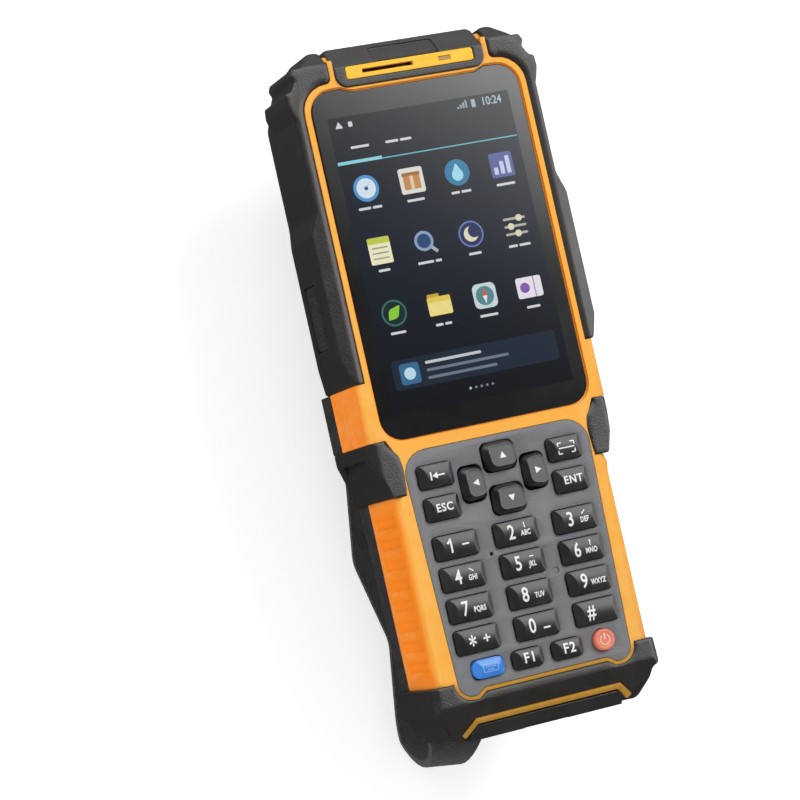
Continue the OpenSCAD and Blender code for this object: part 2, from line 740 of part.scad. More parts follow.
module grip_pad() {
    difference() {
        union() {
            slab([[pad_x + rubber_gap, pad_low + rubber_gap], [pad_foot, pad_low + rubber_gap],
                  [shoulder_x + rubber_h, pad_top - 3], [shoulder_x + rubber_h, pad_top - rubber_gap],
                  [pad_x + rubber_gap, pad_top - rubber_gap]], bumper_back, rubber_top);
            pad_flap(1, -rubber_gap);
        }
        translate([shoulder_x + 1, (pad_top + pad_low) / 2 - 0.5, -13])
            rotate([0, 0, 12]) cube([2.4, pad_l - 6, 17], center = true);
    }
}

module grip_pad_right() {
    color(charcoal) grip_pad();
}

module grip_pad_left() {
    color(charcoal) mirror([1, 0, 0]) grip_pad();
}

// What is cut off the foot's front, which falls back towards the lip and the cover
module front_fall() {
    prism_x([[fall_y, rubber_top + 0.1], [foot_low - 2, fall(foot_low - 2)],
             [foot_low - 2, rubber_top + 0.2]], foot_side + 5);
}

module bottom_bumper() {
    ear_y = grip_low - 6.4;
    ears_in = knuckle_x + face_gap;
    color(charcoal) difference() {
        union() {
            difference() {
                slab(rounded(both([
                    [foot_side, grip_low - rubber_gap, 0.5],
                    [foot_side + 0.3, ear_y, 1],
                    [foot_side - 1.5, ear_y - 1, 1],
                    [foot_side - 2, foot_y - 1.5, 3],
                    [lip_x + arm + 2, foot_low + 1.4, 2.5]])), bumper_back, rubber_top);
                block(-cover_x - face_gap, cover_x + face_gap, foot_low - 1, foot_y + 1,
                      rear_z, lip_z - lip_t);
            }
            // the hinge's two ears and the rib that carries them
            block(-cover_x - 1, cover_x + 1, cover_in - 0.1, foot_y, rear_z + 2, cover_back - face_gap);
            for (side = [-1, 1]) {
                x0 = side < 0 ? -ears_in - ear_w : ears_in;
                block(x0, x0 + ear_w, hinge_y, cover_in + 1, hinge_z - knuckle_r, hinge_z + 0.6);
                rod_x(knuckle_r, x0, x0 + ear_w, hinge_y, hinge_z);
            }
        }
        // the case, its coloured line and lip
        slab(case_pts(-rubber_gap), rear_z - 1, -plate_t + rubber_gap);
        slab(panel_pts(line_w + rubber_gap), -plate_t - 1, rubber_top + 1);
        // room for the lip's root, and the opening round the lip and the cover
        block(-lip_x - rubber_gap, lip_x + rubber_gap, foot_y - 1.3, foot_y + 1 + rubber_gap,
              min(lip_z - lip_t, -plate_t) - rubber_gap, lip_z + rubber_gap);
        intersection() {
            slab(rounded(both([[lip_x + 1.4 * rubber_gap, foot_y - 1.19, 0],
                       [lip_x + arm + 1.4 * rubber_gap, foot_y - 1.2 - arm, 0],
                       [lip_x + arm + 1.4 * rubber_gap, foot_low - 1, 0]])), lip_z - 9, rubber_top + 1);
            prism_x([[foot_y, rubber_top + 1], [foot_y, lip_z - lip_t - rubber_gap],
                     [foot_y - 2, lip_z - lip_t - rubber_gap], [foot_low - 2, fall(foot_low - 2) - lip_t - 1],
                     [foot_low - 2, rubber_top + 1]], lip_x + 5);
        }
        front_fall();
        rod_x(pin_r + 0.02, -ears_in - ear_w - 1, ears_in + ear_w + 1, hinge_y, hinge_z);
        // room for the knuckle
        rod_x(knuckle_r + face_gap, -ears_in, ears_in, hinge_y, hinge_z);
        for (side = [-1, 1])
            translate([side * (foot_side + 1.8), 0, rubber_top + 1.7]) rotate([0, 45, 0])
                cube([7, 400, 7], center = true);
    }
}

module port_cover() {
    color(charcoal) difference() {
        union() {
            difference() {
                slab(rounded(both([[cover_x - 1.6, cover_in, 0], [cover_x, cover_in - 1.6, 0],
                                   [cover_x, cover_out, 0]])), cover_back, cover_front);
                front_fall();
            }
            block(-port_w / 2 + 0.4, port_w / 2 - 0.4, cover_in - 0.1, foot_y - 0.2,
                  port_z - port_h / 2 + 0.4, port_z + port_h / 2 - 0.4);
            rod_x(knuckle_r, -knuckle_x, knuckle_x, hinge_y, hinge_z);
            block(-knuckle_x, knuckle_x, hinge_y - knuckle_r, hinge_y + 1, hinge_z, cover_back + 0.5);
        }
        rod_x(pin_r + bore_gap, -knuckle_x - 1, knuckle_x + 1, hinge_y, hinge_z);
        // finger notch
        translate([0, cover_out - 0.6, fall(cover_out)]) rotate([0, 90, 0])
            cylinder(r = 1.4, h = 12, center = true);
    }
}

module cover_pin() {
    half = knuckle_x + face_gap + ear_w;
    color(steel) rod_x(pin_r, -half, half, hinge_y, hinge_z);
}

module dock_connector() {
    depth = 7;
    color("silver") difference() {
        block(-port_w / 2 + 0.5, port_w / 2 - 0.5, foot_y + wall + 0.2, foot_y + wall + depth,
              port_z - port_h / 2 + 0.3, port_z + port_h / 2 - 0.3);
        block(-port_w / 2 + 1.1, port_w / 2 - 1.1, foot_y, foot_y + wall + depth - 1.5,
              port_z - 0.4, port_z + port_h / 2 - 0.9);
    }
}

// ---------- display ----------

module touch_glass() {
    color([0.05, 0.06, 0.08]) slab(glass_pts(0), -glass_t, 0);
}

module lcd_module() {
    color([0.10, 0.14, 0.20]) slab(box_pts(lcd_w, lcd_h, 0.8, 0, glass_mid), -display_t, -glass_t);
}

module display_bracket() {
    color(steel) {
        difference() {
            union() {
                intersection() {
                    slab(box_pts(2 * bracket_x, bracket_h, upper_r - wall - 0.4, 0, glass_mid),
                         bracket_z, -plate_t);
                    slab(case_pts(wall + 0.3), bracket_z - 1, 0);
                }
                // a thinner display is packed up to the glass
                if (plate_t - display_t > 0.01)
                    slab(box_pts(lcd_w, lcd_h, 0.8, 0, glass_mid), -plate_t, -display_t);
            }
            slab(box_pts(lcd_w - 22, lcd_h - 22, 2, 0, glass_mid + 1), bracket_z - 1, -plate_t + 1);
            at_both(screws) translate([0, 0, bracket_z - 1]) cylinder(r = boss_r + face_gap, h = 4);
        }
        at_both(standoffs)
            translate([0, 0, board_z]) cylinder(r = standoff_r, h = bracket_z - board_z);
    }
}

module receiver_strip() {
    color(amber) difference() {
        slab(box_pts(strip_w, strip_h, 0.7, 0, strip_y), rubber_top - 1.7, rubber_top - 0.2);
        translate([receiver_x, strip_y, 0]) cube([receiver_w, 1, 6], center = true);
        translate([led_x, strip_y, 0]) cube([led_w + 0.1, 1.1, 6], center = true);
    }
}

module light_pipe() {
    color("white") {
        block(led_x - led_w / 2, led_x + led_w / 2, strip_y - 0.48, strip_y + 0.48,
              -plate_t, rubber_top - 0.4);
        translate([led_x, strip_y, -plate_t - 2.2]) cylinder(r = 1.15, h = 2.2);
    }
}

module earpiece() {
    color([0.2, 0.2, 0.22])
        block(receiver_x - 7, receiver_x + 7, earpiece_low, neck_top - wall - 0.2,
              engine_z + 0.2, -plate_t - neck_plate_t);
}

// ---------- electronics ----------

module scan_engine() {
    y0 = neck_top - wall - face_gap - engine_l;
    color([0.25, 0.25, 0.28]) difference() {
        block(-engine_w / 2, engine_w / 2, y0, y0 + engine_l, engine_z - engine_d, engine_z);
        translate([-6, y0 + engine_l + 1, engine_z - engine_d / 2]) rotate([90, 0, 0])
            cylinder(r = 2.6, h = 5);
        block(2, 9, y0 + engine_l - 3, y0 + engine_l + 1, engine_z - 7, engine_z - 3);
    }
}

module scan_window() {
    color([0.35, 0.03, 0.05, 0.8])
        block(-window_x - 1.4, window_x + 1.4, neck_top + rubber_gap, neck_top + 1.65,
              window_back - 1.4, window_front + 1.4);
}

module main_board() {
    color(board_green)
        block(-board_w / 2, board_w / 2, board_low, board_top, board_z - board_t, board_z);
}

module shield_cans() {
    color("silver") {
        block(4 - board_w / 2, board_w / 2 - 20, board_top - 38, board_top - 16,
              board_z, board_z + can_h);
        block(6 - board_w / 2, board_w / 2 - 6, board_low + 10.5, board_top - 18,
              board_z - board_t - can_h, board_z - board_t);
    }
}

module camera_module() {
    color([0.12, 0.12, 0.13]) {
        translate([camera_x - camera_w / 2, camera_y - camera_w / 2, rear_z + wall])
            cube([camera_w, camera_w, 4]);
        translate([camera_x, camera_y, rear_z + 1.1]) cylinder(r = lens_r - 1, h = wall);
    }
}

module camera_window() {
    color([0.03, 0.03, 0.04]) translate([camera_x, camera_y, rear_z]) cylinder(r = lens_r, h = 1);
}

module loudspeaker() {
    color([0.15, 0.15, 0.16])
        block(speaker_x - speaker_w / 2, speaker_x + speaker_w / 2, camera_y - speaker_h / 2,
              camera_y + speaker_h / 2, rear_z + wall, rear_z + wall + speaker_t);
}

module side_switches() {
    out = upper_x - wall - face_gap;
    for (s = [[-1, left_button_y], [1, right_button_y]])
        color("gray") block(s.x < 0 ? -out : out - 3.4, s.x < 0 ? -out + 3.4 : out,
                            s.y - 3, s.y + 3, side_button_z - 2, side_button_z + 2);
}

// A side button of length l at height y, drawn on the right; top is its outer face
module side_button(y, l, top) {
    x0 = upper_x + side_travel + 0.3;
    translate([x0, 0, 0]) rotate([90, 0, 90]) linear_extrude(top - x0)
        polygon(box_pts(l, side_button_h, 1.6, y, side_button_z));
    rod_x(1.1, upper_x - wall - face_gap + side_travel + 0.05, x0 + 0.1, y, side_button_z);
}

module scan_button_right() {
    color(charcoal) side_button(right_button_y, right_button_l, bumper_x + 0.5);
}

module scan_button_left() {
    color(charcoal) mirror([1, 0, 0]) side_button(left_button_y, left_button_l, bumper_x - 0.3);
}

// ---------- keypad ----------

module keypad_panel() {
    mic = [-7.3, digit_row1 - row_pitch / 2];
    dimple = [8.3, digit_row1 - 1.45 * row_pitch];
    color(panel_grey) difference() {
        slab(panel_pts(0), -panel_t, rim_h);
        for (k = keys) slab(key_pts(k, key_gap), -panel_t - 1, rim_h + 1);
        translate([mic.x, mic.y, -panel_t - 1]) cylinder(r = 0.5, h = panel_t + 3);
        translate([dimple.x, dimple.y, rim_h - 0.4]) cylinder(r = 0.9, h = 1);
    }
}

module keypad_mat() {
    color([0.75, 0.75, 0.73]) difference() {
        union() {
            slab(panel_pts(-0.6), mat_z - mat_t, mat_z);
            for (k = keys) slab(key_pts(k, -0.8), mat_z - 0.1, -key_reach);
        }
        at_both(screws) translate([0, 0, mat_z - mat_t - 1]) cylinder(r = boss_r + face_gap, h = 4);
    }
}

module keypad_board() {
    color(board_green) difference() {
        slab(box_pts(panel_low_w - 1, panel_l - 3, 3, 0, panel_top - panel_l / 2),
             keypad_board_z - keypad_board_t, keypad_board_z);
        at_both(screws) translate([0, 0, keypad_board_z - 3]) cylinder(r = boss_r + face_gap, h = 6);
    }
}

// ---------- battery ----------

module battery() {
    color([0.20, 0.22, 0.26])
        slab(box_pts(battery_w, battery_top - battery_low, 2, 0, (battery_top + battery_low) / 2),
             battery_z, battery_z + battery_t);
}

function door_pts(k) =
    box_pts(2 * bay_x + 2 * k - 0.4, bay_top - bay_low + 2 * k + 2 * door_rim, 3 + k,
            0, (bay_top + bay_low) / 2);

module battery_door() {
    color(charcoal) difference() {
        slab(door_pts(0), rear_z, rear_z + door_t);
        for (i = [0 : 3])
            block(-7, 7, bay_top - 4 - 2.4 * i, bay_top - 3 - 2.4 * i, rear_z - 1, rear_z + 0.5);
    }
}

// ---------- strap ----------

// Middle line of the strap in [y, z], from the upper bar round to the lower bar
function turn_about(c, r, a0, a1, steps) =
    [for (i = [0 : steps]) c + r * [cos(a0 + (a1 - a0) * i / steps), sin(a0 + (a1 - a0) * i / steps)]];

// A bend passed clockwise at heading h lies at h + 90 on its circle, and one passed the
// other way at h - 90, so the straight stretches are the circles' common tangents.
upper_bar = [bar_top_y, bar_z];
lower_bar = [bar_low_y, bar_z];
ramp_side = [cos(ramp_heading + 90), sin(ramp_heading + 90)];
run_top = bar_top_y
    - ((run_z + ramp_bend - bar_z) * ramp_side.y + ramp_bend - loop_r) / ramp_side.x;
ramp_centre = [run_top, run_z + ramp_bend];
bend_centre = [bend_y, run_z + bend_r];
to_bar = lower_bar - bend_centre;
back_heading = atan2(to_bar.y, to_bar.x) + acos((bend_r + loop_r) / norm(to_bar)) - 90;
wrap = 235;                                     // how far the strap's ends go round the bars
strap_line = concat(
    turn_about(upper_bar, loop_r, ramp_heading - 270 + wrap, ramp_heading - 270, 14),
    turn_about(ramp_centre, ramp_bend, ramp_heading + 90, 270, 6),
    turn_about(bend_centre, bend_r, 270, back_heading + 90, 16),
    turn_about(lower_bar, loop_r, back_heading - 90, back_heading - 90 + wrap, 14));
ramp_middle = (upper_bar + ramp_centre + (loop_r + ramp_bend) * ramp_side) / 2;

function normal(line, i) =
    let (a = line[max(i - 1, 0)], b = line[min(i + 1, len(line) - 1)], d = unit(b - a))
    [-d.y, d.x];

// A band of thickness t along a line
function band(line, t) = concat(
    [for (i = [0 : len(line) - 1]) line[i] + normal(line, i) * t / 2],
    [for (i = [len(line) - 1 : -1 : 0]) line[i] - normal(line, i) * t / 2]);

module hand_strap() {
    taper_y = bar_low_y + 25;
    tip_w = tongue_w - 5;                       // where the tongue turns back, its sides draw in
    color([0.07, 0.07, 0.08]) strap_frame() intersection() {
        prism_x(band(strap_line, strap_t), strap_w / 2);
        slab(rounded(both([[strap_w / 2, bar_top_y + 10, 0], [strap_w / 2, taper_y, 12],
                           [tongue_w / 2, bar_low_y + 4, 12], [tongue_w / 2, tongue_end + 6.5, 5],
                           [tip_w / 2, tongue_end - 1.5, 0]])), run_z - 10, 0);
    }
}

module strap_buckle() {
    color(key_black) strap_frame()
        translate([0, ramp_middle.x, ramp_middle.y]) rotate([ramp_heading, 0, 0]) difference() {
            cube([strap_w + 5, 12, 4.6], center = true);
            cube([strap_w + 0.6, 13, strap_t + 0.4], center = true);
        }
}

module key_named(name) {
    tint = name == "key_input" ? [0.10, 0.35, 0.75]
         : name == "key_power" ? [0.85, 0.42, 0.32]
         : key_black;
    color(tint) for (k = keys) if (k[0] == name) keycap(k);
}

placed() front_housing();
placed() rear_housing();
placed() housing_seal();
placed() housing_screws();
placed() bumper_left();
placed() bumper_right();
placed() scanner_hood();
placed() grip_pad_left();
placed() grip_pad_right();
placed() bottom_bumper();
placed() port_cover();
placed() cover_pin();
placed() dock_connector();
placed() touch_glass();
placed() lcd_module();
placed() display_bracket();
placed() receiver_strip();
placed() earpiece();
placed() light_pipe();
placed() scan_engine();
placed() scan_window();
placed() main_board();
placed() shield_cans();
placed() keypad_panel();
placed() keypad_mat();
placed() keypad_board();
placed() camera_module();
placed() camera_window();
placed() loudspeaker();
placed() scan_button_left();
placed() scan_button_right();
placed() side_switches();
placed() battery();
placed() battery_door();
placed() hand_strap();
placed() strap_buckle();
for (k = keys) placed() key_named(k[0]);
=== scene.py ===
"""Looks of a portable data terminal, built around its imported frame.

Pieces are modelled in millimetres about the middle of the screen, with the
glass top at z = 0, and are placed in the frame when they are finished.
"""

from __future__ import annotations

import sys

import json
import logging
import math
from dataclasses import dataclass, field, replace
from enum import Enum
from typing import Callable, Sequence

import bmesh
import bpy
from mathutils import Matrix, Vector

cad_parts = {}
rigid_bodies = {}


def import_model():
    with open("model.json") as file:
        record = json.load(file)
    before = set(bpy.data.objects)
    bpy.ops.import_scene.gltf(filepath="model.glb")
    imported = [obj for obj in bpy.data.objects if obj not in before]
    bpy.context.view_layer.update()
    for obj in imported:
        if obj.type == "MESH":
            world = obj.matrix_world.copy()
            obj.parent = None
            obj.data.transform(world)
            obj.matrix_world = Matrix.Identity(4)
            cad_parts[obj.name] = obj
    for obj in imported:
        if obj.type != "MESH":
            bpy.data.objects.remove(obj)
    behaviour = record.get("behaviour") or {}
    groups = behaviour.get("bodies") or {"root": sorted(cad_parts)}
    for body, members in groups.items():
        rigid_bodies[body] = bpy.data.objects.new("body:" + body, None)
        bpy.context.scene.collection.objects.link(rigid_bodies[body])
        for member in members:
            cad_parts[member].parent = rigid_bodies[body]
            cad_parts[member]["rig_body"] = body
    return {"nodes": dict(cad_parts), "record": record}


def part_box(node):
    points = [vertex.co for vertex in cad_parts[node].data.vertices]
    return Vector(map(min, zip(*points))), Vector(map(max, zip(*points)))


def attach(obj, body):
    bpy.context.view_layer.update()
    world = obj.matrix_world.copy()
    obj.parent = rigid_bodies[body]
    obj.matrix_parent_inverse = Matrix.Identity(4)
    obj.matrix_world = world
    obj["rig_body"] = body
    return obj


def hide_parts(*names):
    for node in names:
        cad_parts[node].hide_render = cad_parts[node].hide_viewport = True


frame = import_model()

LOG = logging.getLogger("terminal")
GLASS_LOW = 0.0435  # from the glass's lower edge up to the middle of the screen, in metres
FLAT = math.radians(0.4)  # CAD faces that turn less than this are joined
BEND = 0.35  # the turn from a large face to a rounding's first strip, in radians
LARGE = 0.5  # the least large face, in square millimetres
PRINT = 0.05  # how far a print stands on each side of its surface, in millimetres
SUNK = 0.05  # how far the picture's shapes reach into the glass, in millimetres
NOISE = (0.3, 0.7)  # the range that noise mostly keeps within
SIDES = {-1: "left", 1: "right"}
Corner = tuple[float, float, float]
Colour = tuple[float, float, float]
Plane = tuple[Corner, Corner]
BMesh = bmesh.types.BMesh
Edges = list[bmesh.types.BMEdge]
Socket = bpy.types.NodeSocket


def linear(code: str) -> Colour:
    """Turns a #RRGGBB colour into linear values."""
    parts = [int(code[i : i + 2], 16) / 255 for i in (1, 3, 5)]
    return tuple(p / 12.92 if p <= 0.04045 else ((p + 0.055) / 1.055) ** 2.4 for p in parts)


def write_size() -> None:
    """Updates the view layer.
    """
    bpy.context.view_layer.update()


# ---------------------------------------------------------------- materials


class Graph:
    """Adds and joins the nodes of one node tree."""

    def __init__(self, tree: bpy.types.NodeTree) -> None:
        """Starts on an empty tree."""
        self.tree = tree

    def add(self, kind: str, inputs: dict | None = None, **props: object) -> bpy.types.Node:
        """Adds a node.

        Args:
            kind: the node's type.
            inputs: socket name or number to a value or another node's output.
            props: the node's own settings.

        Returns:
            The node.
        """
        node = self.tree.nodes.new(kind)
        for name, value in props.items():
            setattr(node, name, value)
        for name, value in (inputs or {}).items():
            socket = node.inputs[name]
            if isinstance(value, Socket):
                self.tree.links.new(value, socket)
            elif isinstance(value, tuple) and len(value) == 3 and socket.type == "RGBA":
                socket.default_value = (*value, 1.0)
            else:
                socket.default_value = value
        return node

    def maths(self, operation: str, a: object, b: object = 0.0, clamp: bool = False) -> Socket:
        """Joins two values with one sum and returns its result."""
        node = self.add("ShaderNodeMath", {0: a, 1: b}, operation=operation, use_clamp=clamp)
        return node.outputs[0]

    def mix(self, factor: object, a: object, b: object) -> Socket:
        """Mixes two colours by a factor and returns the colour."""
        node = self.add("ShaderNodeMix", {0: factor, 6: a, 7: b}, data_type="RGBA")
        return node.outputs[2]

    def span(self, value: object, low: float, high: float, to_low: float = 0.0, to_high: float = 1.0,
             smooth: bool = False) -> Socket:
        """Maps a value from one range to another, held at its ends.

        Args:
            value: the value or socket that is mapped.
            low: the lower end of the value's range.
            high: the upper end of the value's range.
            to_low: what the lower end becomes.
            to_high: what the upper end becomes.
            smooth: whether the ends are eased.

        Returns:
            The mapped value.
        """
        node = self.add("ShaderNodeMapRange", {0: value, 1: low, 2: high, 3: to_low, 4: to_high})
        node.interpolation_type = "SMOOTHSTEP" if smooth else "LINEAR"
        return node.outputs[0]

    def effect(self, kind: Effect, **values: float) -> bpy.types.Node:
        """Adds a shared effect with its own values.

        Args:
            kind: which effect it is.
            values: the effect's inputs by name.

        Returns:
            The effect's node.
        """
        node = self.add("ShaderNodeGroup", node_tree=kind.tree())
        for name, value in values.items():
            node.inputs[name].default_value = value
        return node

    def place(self) -> Socket:
        """Returns the object coordinates."""
        return self.add("ShaderNodeTexCoord").outputs["Object"]

    def part(self, value: object, axis: int) -> Socket:
        """Returns one part of a vector, 0 to 2 for X to Z."""
        return self.add("ShaderNodeSeparateXYZ", {0: value}).outputs[axis]

    def normal(self) -> Socket:
        """Returns the surface's normal."""
        return self.add("ShaderNodeNewGeometry").outputs["Normal"]


def new_group(name: str, ins: dict[str, float],
              outs: Sequence[str]) -> tuple[bpy.types.NodeTree, Graph, dict, bpy.types.Node]:
    """Makes an empty shader node group.

    Args:
        name: the group's name.
        ins: value input to its default.
        outs: names of the value outputs.

    Returns:
        The group, a graph on it, its inputs by name and its output node.
    """
    tree = bpy.data.node_groups.new(name, "ShaderNodeTree")
    for label, value in ins.items():
        socket = tree.interface.new_socket(label, in_out="INPUT", socket_type="NodeSocketFloat")
        socket.default_value = value
    for label in outs:
        tree.interface.new_socket(label, in_out="OUTPUT", socket_type="NodeSocketFloat")
    graph = Graph(tree)
    entry = graph.add("NodeGroupInput")
    leave = graph.add("NodeGroupOutput")
    return tree, graph, {o.name: o for o in entry.outputs if o.name}, leave


class Effect(Enum):
    """The surface effects that several finishes share."""

    GRAIN = "fine_grain"
    WEAR = "edge_wear"
    DUST = "dust"
    WEAVE = "weave"

    def tree(self) -> bpy.types.NodeTree:
        """Returns the effect's node group, made on first use."""
        found = bpy.data.node_groups.get(self.value)
        return found or getattr(self, f"_{self.name.lower()}")()

    def _grain(self) -> bpy.types.NodeTree:
        """Fine moulded grain and a slow change of shade, on object coordinates.

        Returns:
            The effect's node group.
        """
        tree, g, ins, leave = new_group(self.value, {"Scale": 3000.0}, ["Height", "Shade"])
        place = g.place()
        fine = g.add("ShaderNodeTexNoise", {"Vector": place, "Scale": ins["Scale"], "Detail": 3.0, "Roughness": 0.6})
        slow = g.add("ShaderNodeTexNoise", {"Vector": place, "Scale": 45.0, "Detail": 4.0, "Roughness": 0.55})
        cells = g.add("ShaderNodeTexVoronoi", {"Vector": place, "Scale": ins["Scale"]})
        tree.links.new(g.maths("ADD", fine.outputs[0], g.maths("MULTIPLY", cells.outputs[0], 0.5)), leave.inputs[0])
        tree.links.new(slow.outputs[0], leave.inputs[1])
        return tree

    def _wear(self) -> bpy.types.NodeTree:
        """A broken mask along raised edges.

        Returns:
            The effect's node group.
        """
        tree, g, ins, leave = new_group(self.value, {"Amount": 0.5, "Spread": 0.06}, ["Mask"])
        sharp = g.add("ShaderNodeNewGeometry").outputs["Pointiness"]
        rough = g.add("ShaderNodeTexNoise", {"Vector": g.place(), "Scale": 420.0, "Detail": 5.0, "Roughness": 0.7})
        rise = g.maths("DIVIDE", g.maths("SUBTRACT", sharp, 0.51), ins["Spread"], clamp=True)
        broken = g.span(rough.outputs[0], 0.35, 0.7)
        mask = g.maths("MULTIPLY", g.maths("MULTIPLY", rise, broken), ins["Amount"], clamp=True)
        tree.links.new(mask, leave.inputs[0])
        return tree

    def _dust(self) -> bpy.types.NodeTree:
        """A faint uneven veil on upward faces.

        Returns:
            The effect's node group.
        """
        tree, g, ins, leave = new_group(self.value, {"Amount": 0.2}, ["Mask"])
        up = g.part(g.normal(), 2)
        cloud = g.add("ShaderNodeTexNoise", {"Vector": g.place(), "Scale": 160.0, "Detail": 6.0, "Roughness": 0.65})
        patch = g.span(cloud.outputs[0], 0.4, 0.75)
        high = g.span(up, 0.1, 0.9)
        tree.links.new(g.maths("MULTIPLY", g.maths("MULTIPLY", patch, high), ins["Amount"]), leave.inputs[0])
        return tree

    def _weave(self) -> bpy.types.NodeTree:
        """Ribbed webbing on the piece's own UV map, which is in millimetres.

        Returns:
            The effect's node group.
        """
        tree, g, ins, leave = new_group(self.value, {"Ribs": 0.9, "Picks": 0.8}, ["Height", "Shade"])
        flat = g.add("ShaderNodeSeparateXYZ", {0: g.add("ShaderNodeUVMap", uv_map="lay").outputs[0]})
        across = g.maths("SINE", g.maths("MULTIPLY", g.maths("DIVIDE", flat.outputs[0], ins["Ribs"]), math.tau))
        shift = g.maths("MULTIPLY", across, 0.25)
        step = g.maths("ADD", g.maths("DIVIDE", flat.outputs[1], ins["Picks"]), shift)
        along = g.maths("SINE", g.maths("MULTIPLY", step, math.tau))
        rib = g.maths("ABSOLUTE", across)
        height = g.maths("ADD", rib, g.maths("MULTIPLY", along, 0.35))
        tree.links.new(height, leave.inputs[0])
        tree.links.new(g.span(height, -0.3, 1.3, 0.55, 1.0), leave.inputs[1])
        return tree


class Look:
    """A material that is made once, on first use."""

    name: str

    def material(self) -> bpy.types.Material:
        """Returns the material.

        Returns:
            The material, with its nodes.
        """
        made = bpy.data.materials.get(f"look_{self.name}")
        if not made:
            made = bpy.data.materials.new(f"look_{self.name}")
            made.use_nodes = True
            made.node_tree.nodes.clear()
            g = Graph(made.node_tree)
            g.add("ShaderNodeOutputMaterial", {0: self.surface(g).outputs[0]})
        return made

    def surface(self, g: Graph) -> bpy.types.Node:
        """Builds the surface's nodes and returns its shader."""
        raise NotImplementedError


@dataclass(frozen=True)
class Finish(Look):
    """A moulded, coated or metal surface with grain, edge wear and dust.

    The side colour, where it is given, is painted shade: it shows on sides and
    fades to the main colour on faces that look up, so the sides look shaded.
    The low colour, where it is given, shows below one height of the front.
    """

    name: str
    colour: str
    flank: str | None = None
    low: str | None = None
    low_y: float = -0.0665
    roughness: float = 0.5
    spread: float = 0.08
    grain: float = 3200.0
    depth: float = 0.00003
    edge: str = "#8A8A8C"
    wear: float = 0.35
    dust: float = 0.1
    shade: float = 0.12
    metallic: float = 0.0
    ior: float = 1.45

    def surface(self, g: Graph) -> bpy.types.Node:
        """Builds the finish's nodes and returns its shader.

        Args:
            g: the material's nodes.

        Returns:
            The shader's node.
        """
        grain = g.effect(Effect.GRAIN, Scale=self.grain)
        wear = g.effect(Effect.WEAR, Amount=self.wear)
        dust = g.effect(Effect.DUST, Amount=self.dust)
        main = linear(self.colour)
        base = g.mix(g.span(grain.outputs["Shade"], *NOISE), tuple(c * (1 - self.shade) for c in main), main)
        # Painted shade: sides turn to the deeper side colour, upward faces keep the main colour.
        if self.flank:
            base = g.mix(g.span(g.part(g.normal(), 2), 0.15, 0.93, smooth=True), linear(self.flank), base)
        if self.low:
            front = g.span(g.part(g.place(), 1), self.low_y - 0.003, self.low_y, 1.0, 0.0)
            base = g.mix(front, base, linear(self.low))
        base = g.mix(wear.outputs[0], base, linear(self.edge))
        base = g.mix(dust.outputs[0], base, linear("#B9B6B0"))
        half = self.spread / 2
        rough = g.span(grain.outputs["Shade"], *NOISE, self.roughness - half, self.roughness + half)
        rough = g.maths("ADD", rough, g.maths("MULTIPLY", dust.outputs[0], 0.4), clamp=True)
        bump = g.add("ShaderNodeBump", {"Strength": 1.0, "Distance": self.depth, "Height": grain.outputs["Height"]})
        return g.add("ShaderNodeBsdfPrincipled", {
            "Base Color": base, "Roughness": rough, "Metallic": self.metallic, "IOR": self.ior,
            "Normal": bump.outputs[0]})


@dataclass(frozen=True)
class Glass(Look):
    """Black printed cover glass or a dark lens, with faint smears."""

    name: str
    colour: str = "#08090B"
    roughness: float = 0.1
    ior: float = 1.72

    def surface(self, g: Graph) -> bpy.types.Node:
        """Builds the glass's nodes and returns its shader.

        Args:
            g: the material's nodes.

        Returns:
            The shader's node.
        """
        dust = g.effect(Effect.DUST, Amount=0.015)
        smear = g.effect(Effect.GRAIN, Scale=700.0).outputs["Shade"]
        base = g.mix(dust.outputs[0], linear(self.colour), linear("#9A9C9F"))
        rough = g.span(smear, *NOISE, self.roughness * 0.8, self.roughness * 1.2)
        return g.add("ShaderNodeBsdfPrincipled", {"Base Color": base, "Roughness": rough, "IOR": self.ior})


@dataclass(frozen=True)
class Picture(Look):
    """Lit picture elements under the glass, coloured by the piece's tint attribute."""

    name: str = "lit_picture"
    strength: float = 0.92
    roughness: float = 0.1
    ior: float = 1.52

    def surface(self, g: Graph) -> bpy.types.Node:
        """Builds the picture's nodes and returns its shader.

        Args:
            g: the material's nodes.

        Returns:
            The shader's node.
        """
        tint = g.add("ShaderNodeAttribute", attribute_name="tint", attribute_type="GEOMETRY").outputs[0]
        cells = g.add("ShaderNodeTexNoise", {"Vector": g.place(), "Scale": 2600.0, "Detail": 1.0}).outputs[0]
        lit = g.mix(g.span(cells, *NOISE, 0.0, 0.14), tint, (0.0, 0.0, 0.0))
        return g.add("ShaderNodeBsdfPrincipled", {
            "Base Color": (0.004, 0.004, 0.005), "Roughness": self.roughness, "IOR": self.ior, "Emission Color": lit,
            "Emission Strength": self.strength})


@dataclass(frozen=True)
class Webbing(Look):
    """Woven elastic with ribs along it."""

    name: str = "webbing"
    colour: str = "#1D1C1C"
    light: str = "#33302E"

    def surface(self, g: Graph) -> bpy.types.Node:
        """Builds the webbing's nodes and returns its shader.

        Args:
            g: the material's nodes.

        Returns:
            The shader's node.
        """
        weave = g.effect(Effect.WEAVE)
        dust = g.effect(Effect.DUST, Amount=0.12)
        base = g.mix(weave.outputs["Shade"], linear(self.colour), linear(self.light))
        base = g.mix(dust.outputs[0], base, linear("#7A746C"))
        bump = g.add("ShaderNodeBump", {"Strength": 0.9, "Distance": 0.00018, "Height": weave.outputs["Height"]})
        return g.add("ShaderNodeBsdfPrincipled", {
            "Base Color": base, "Roughness": 0.85, "Normal": bump.outputs[0], "Sheen Weight": 0.25})
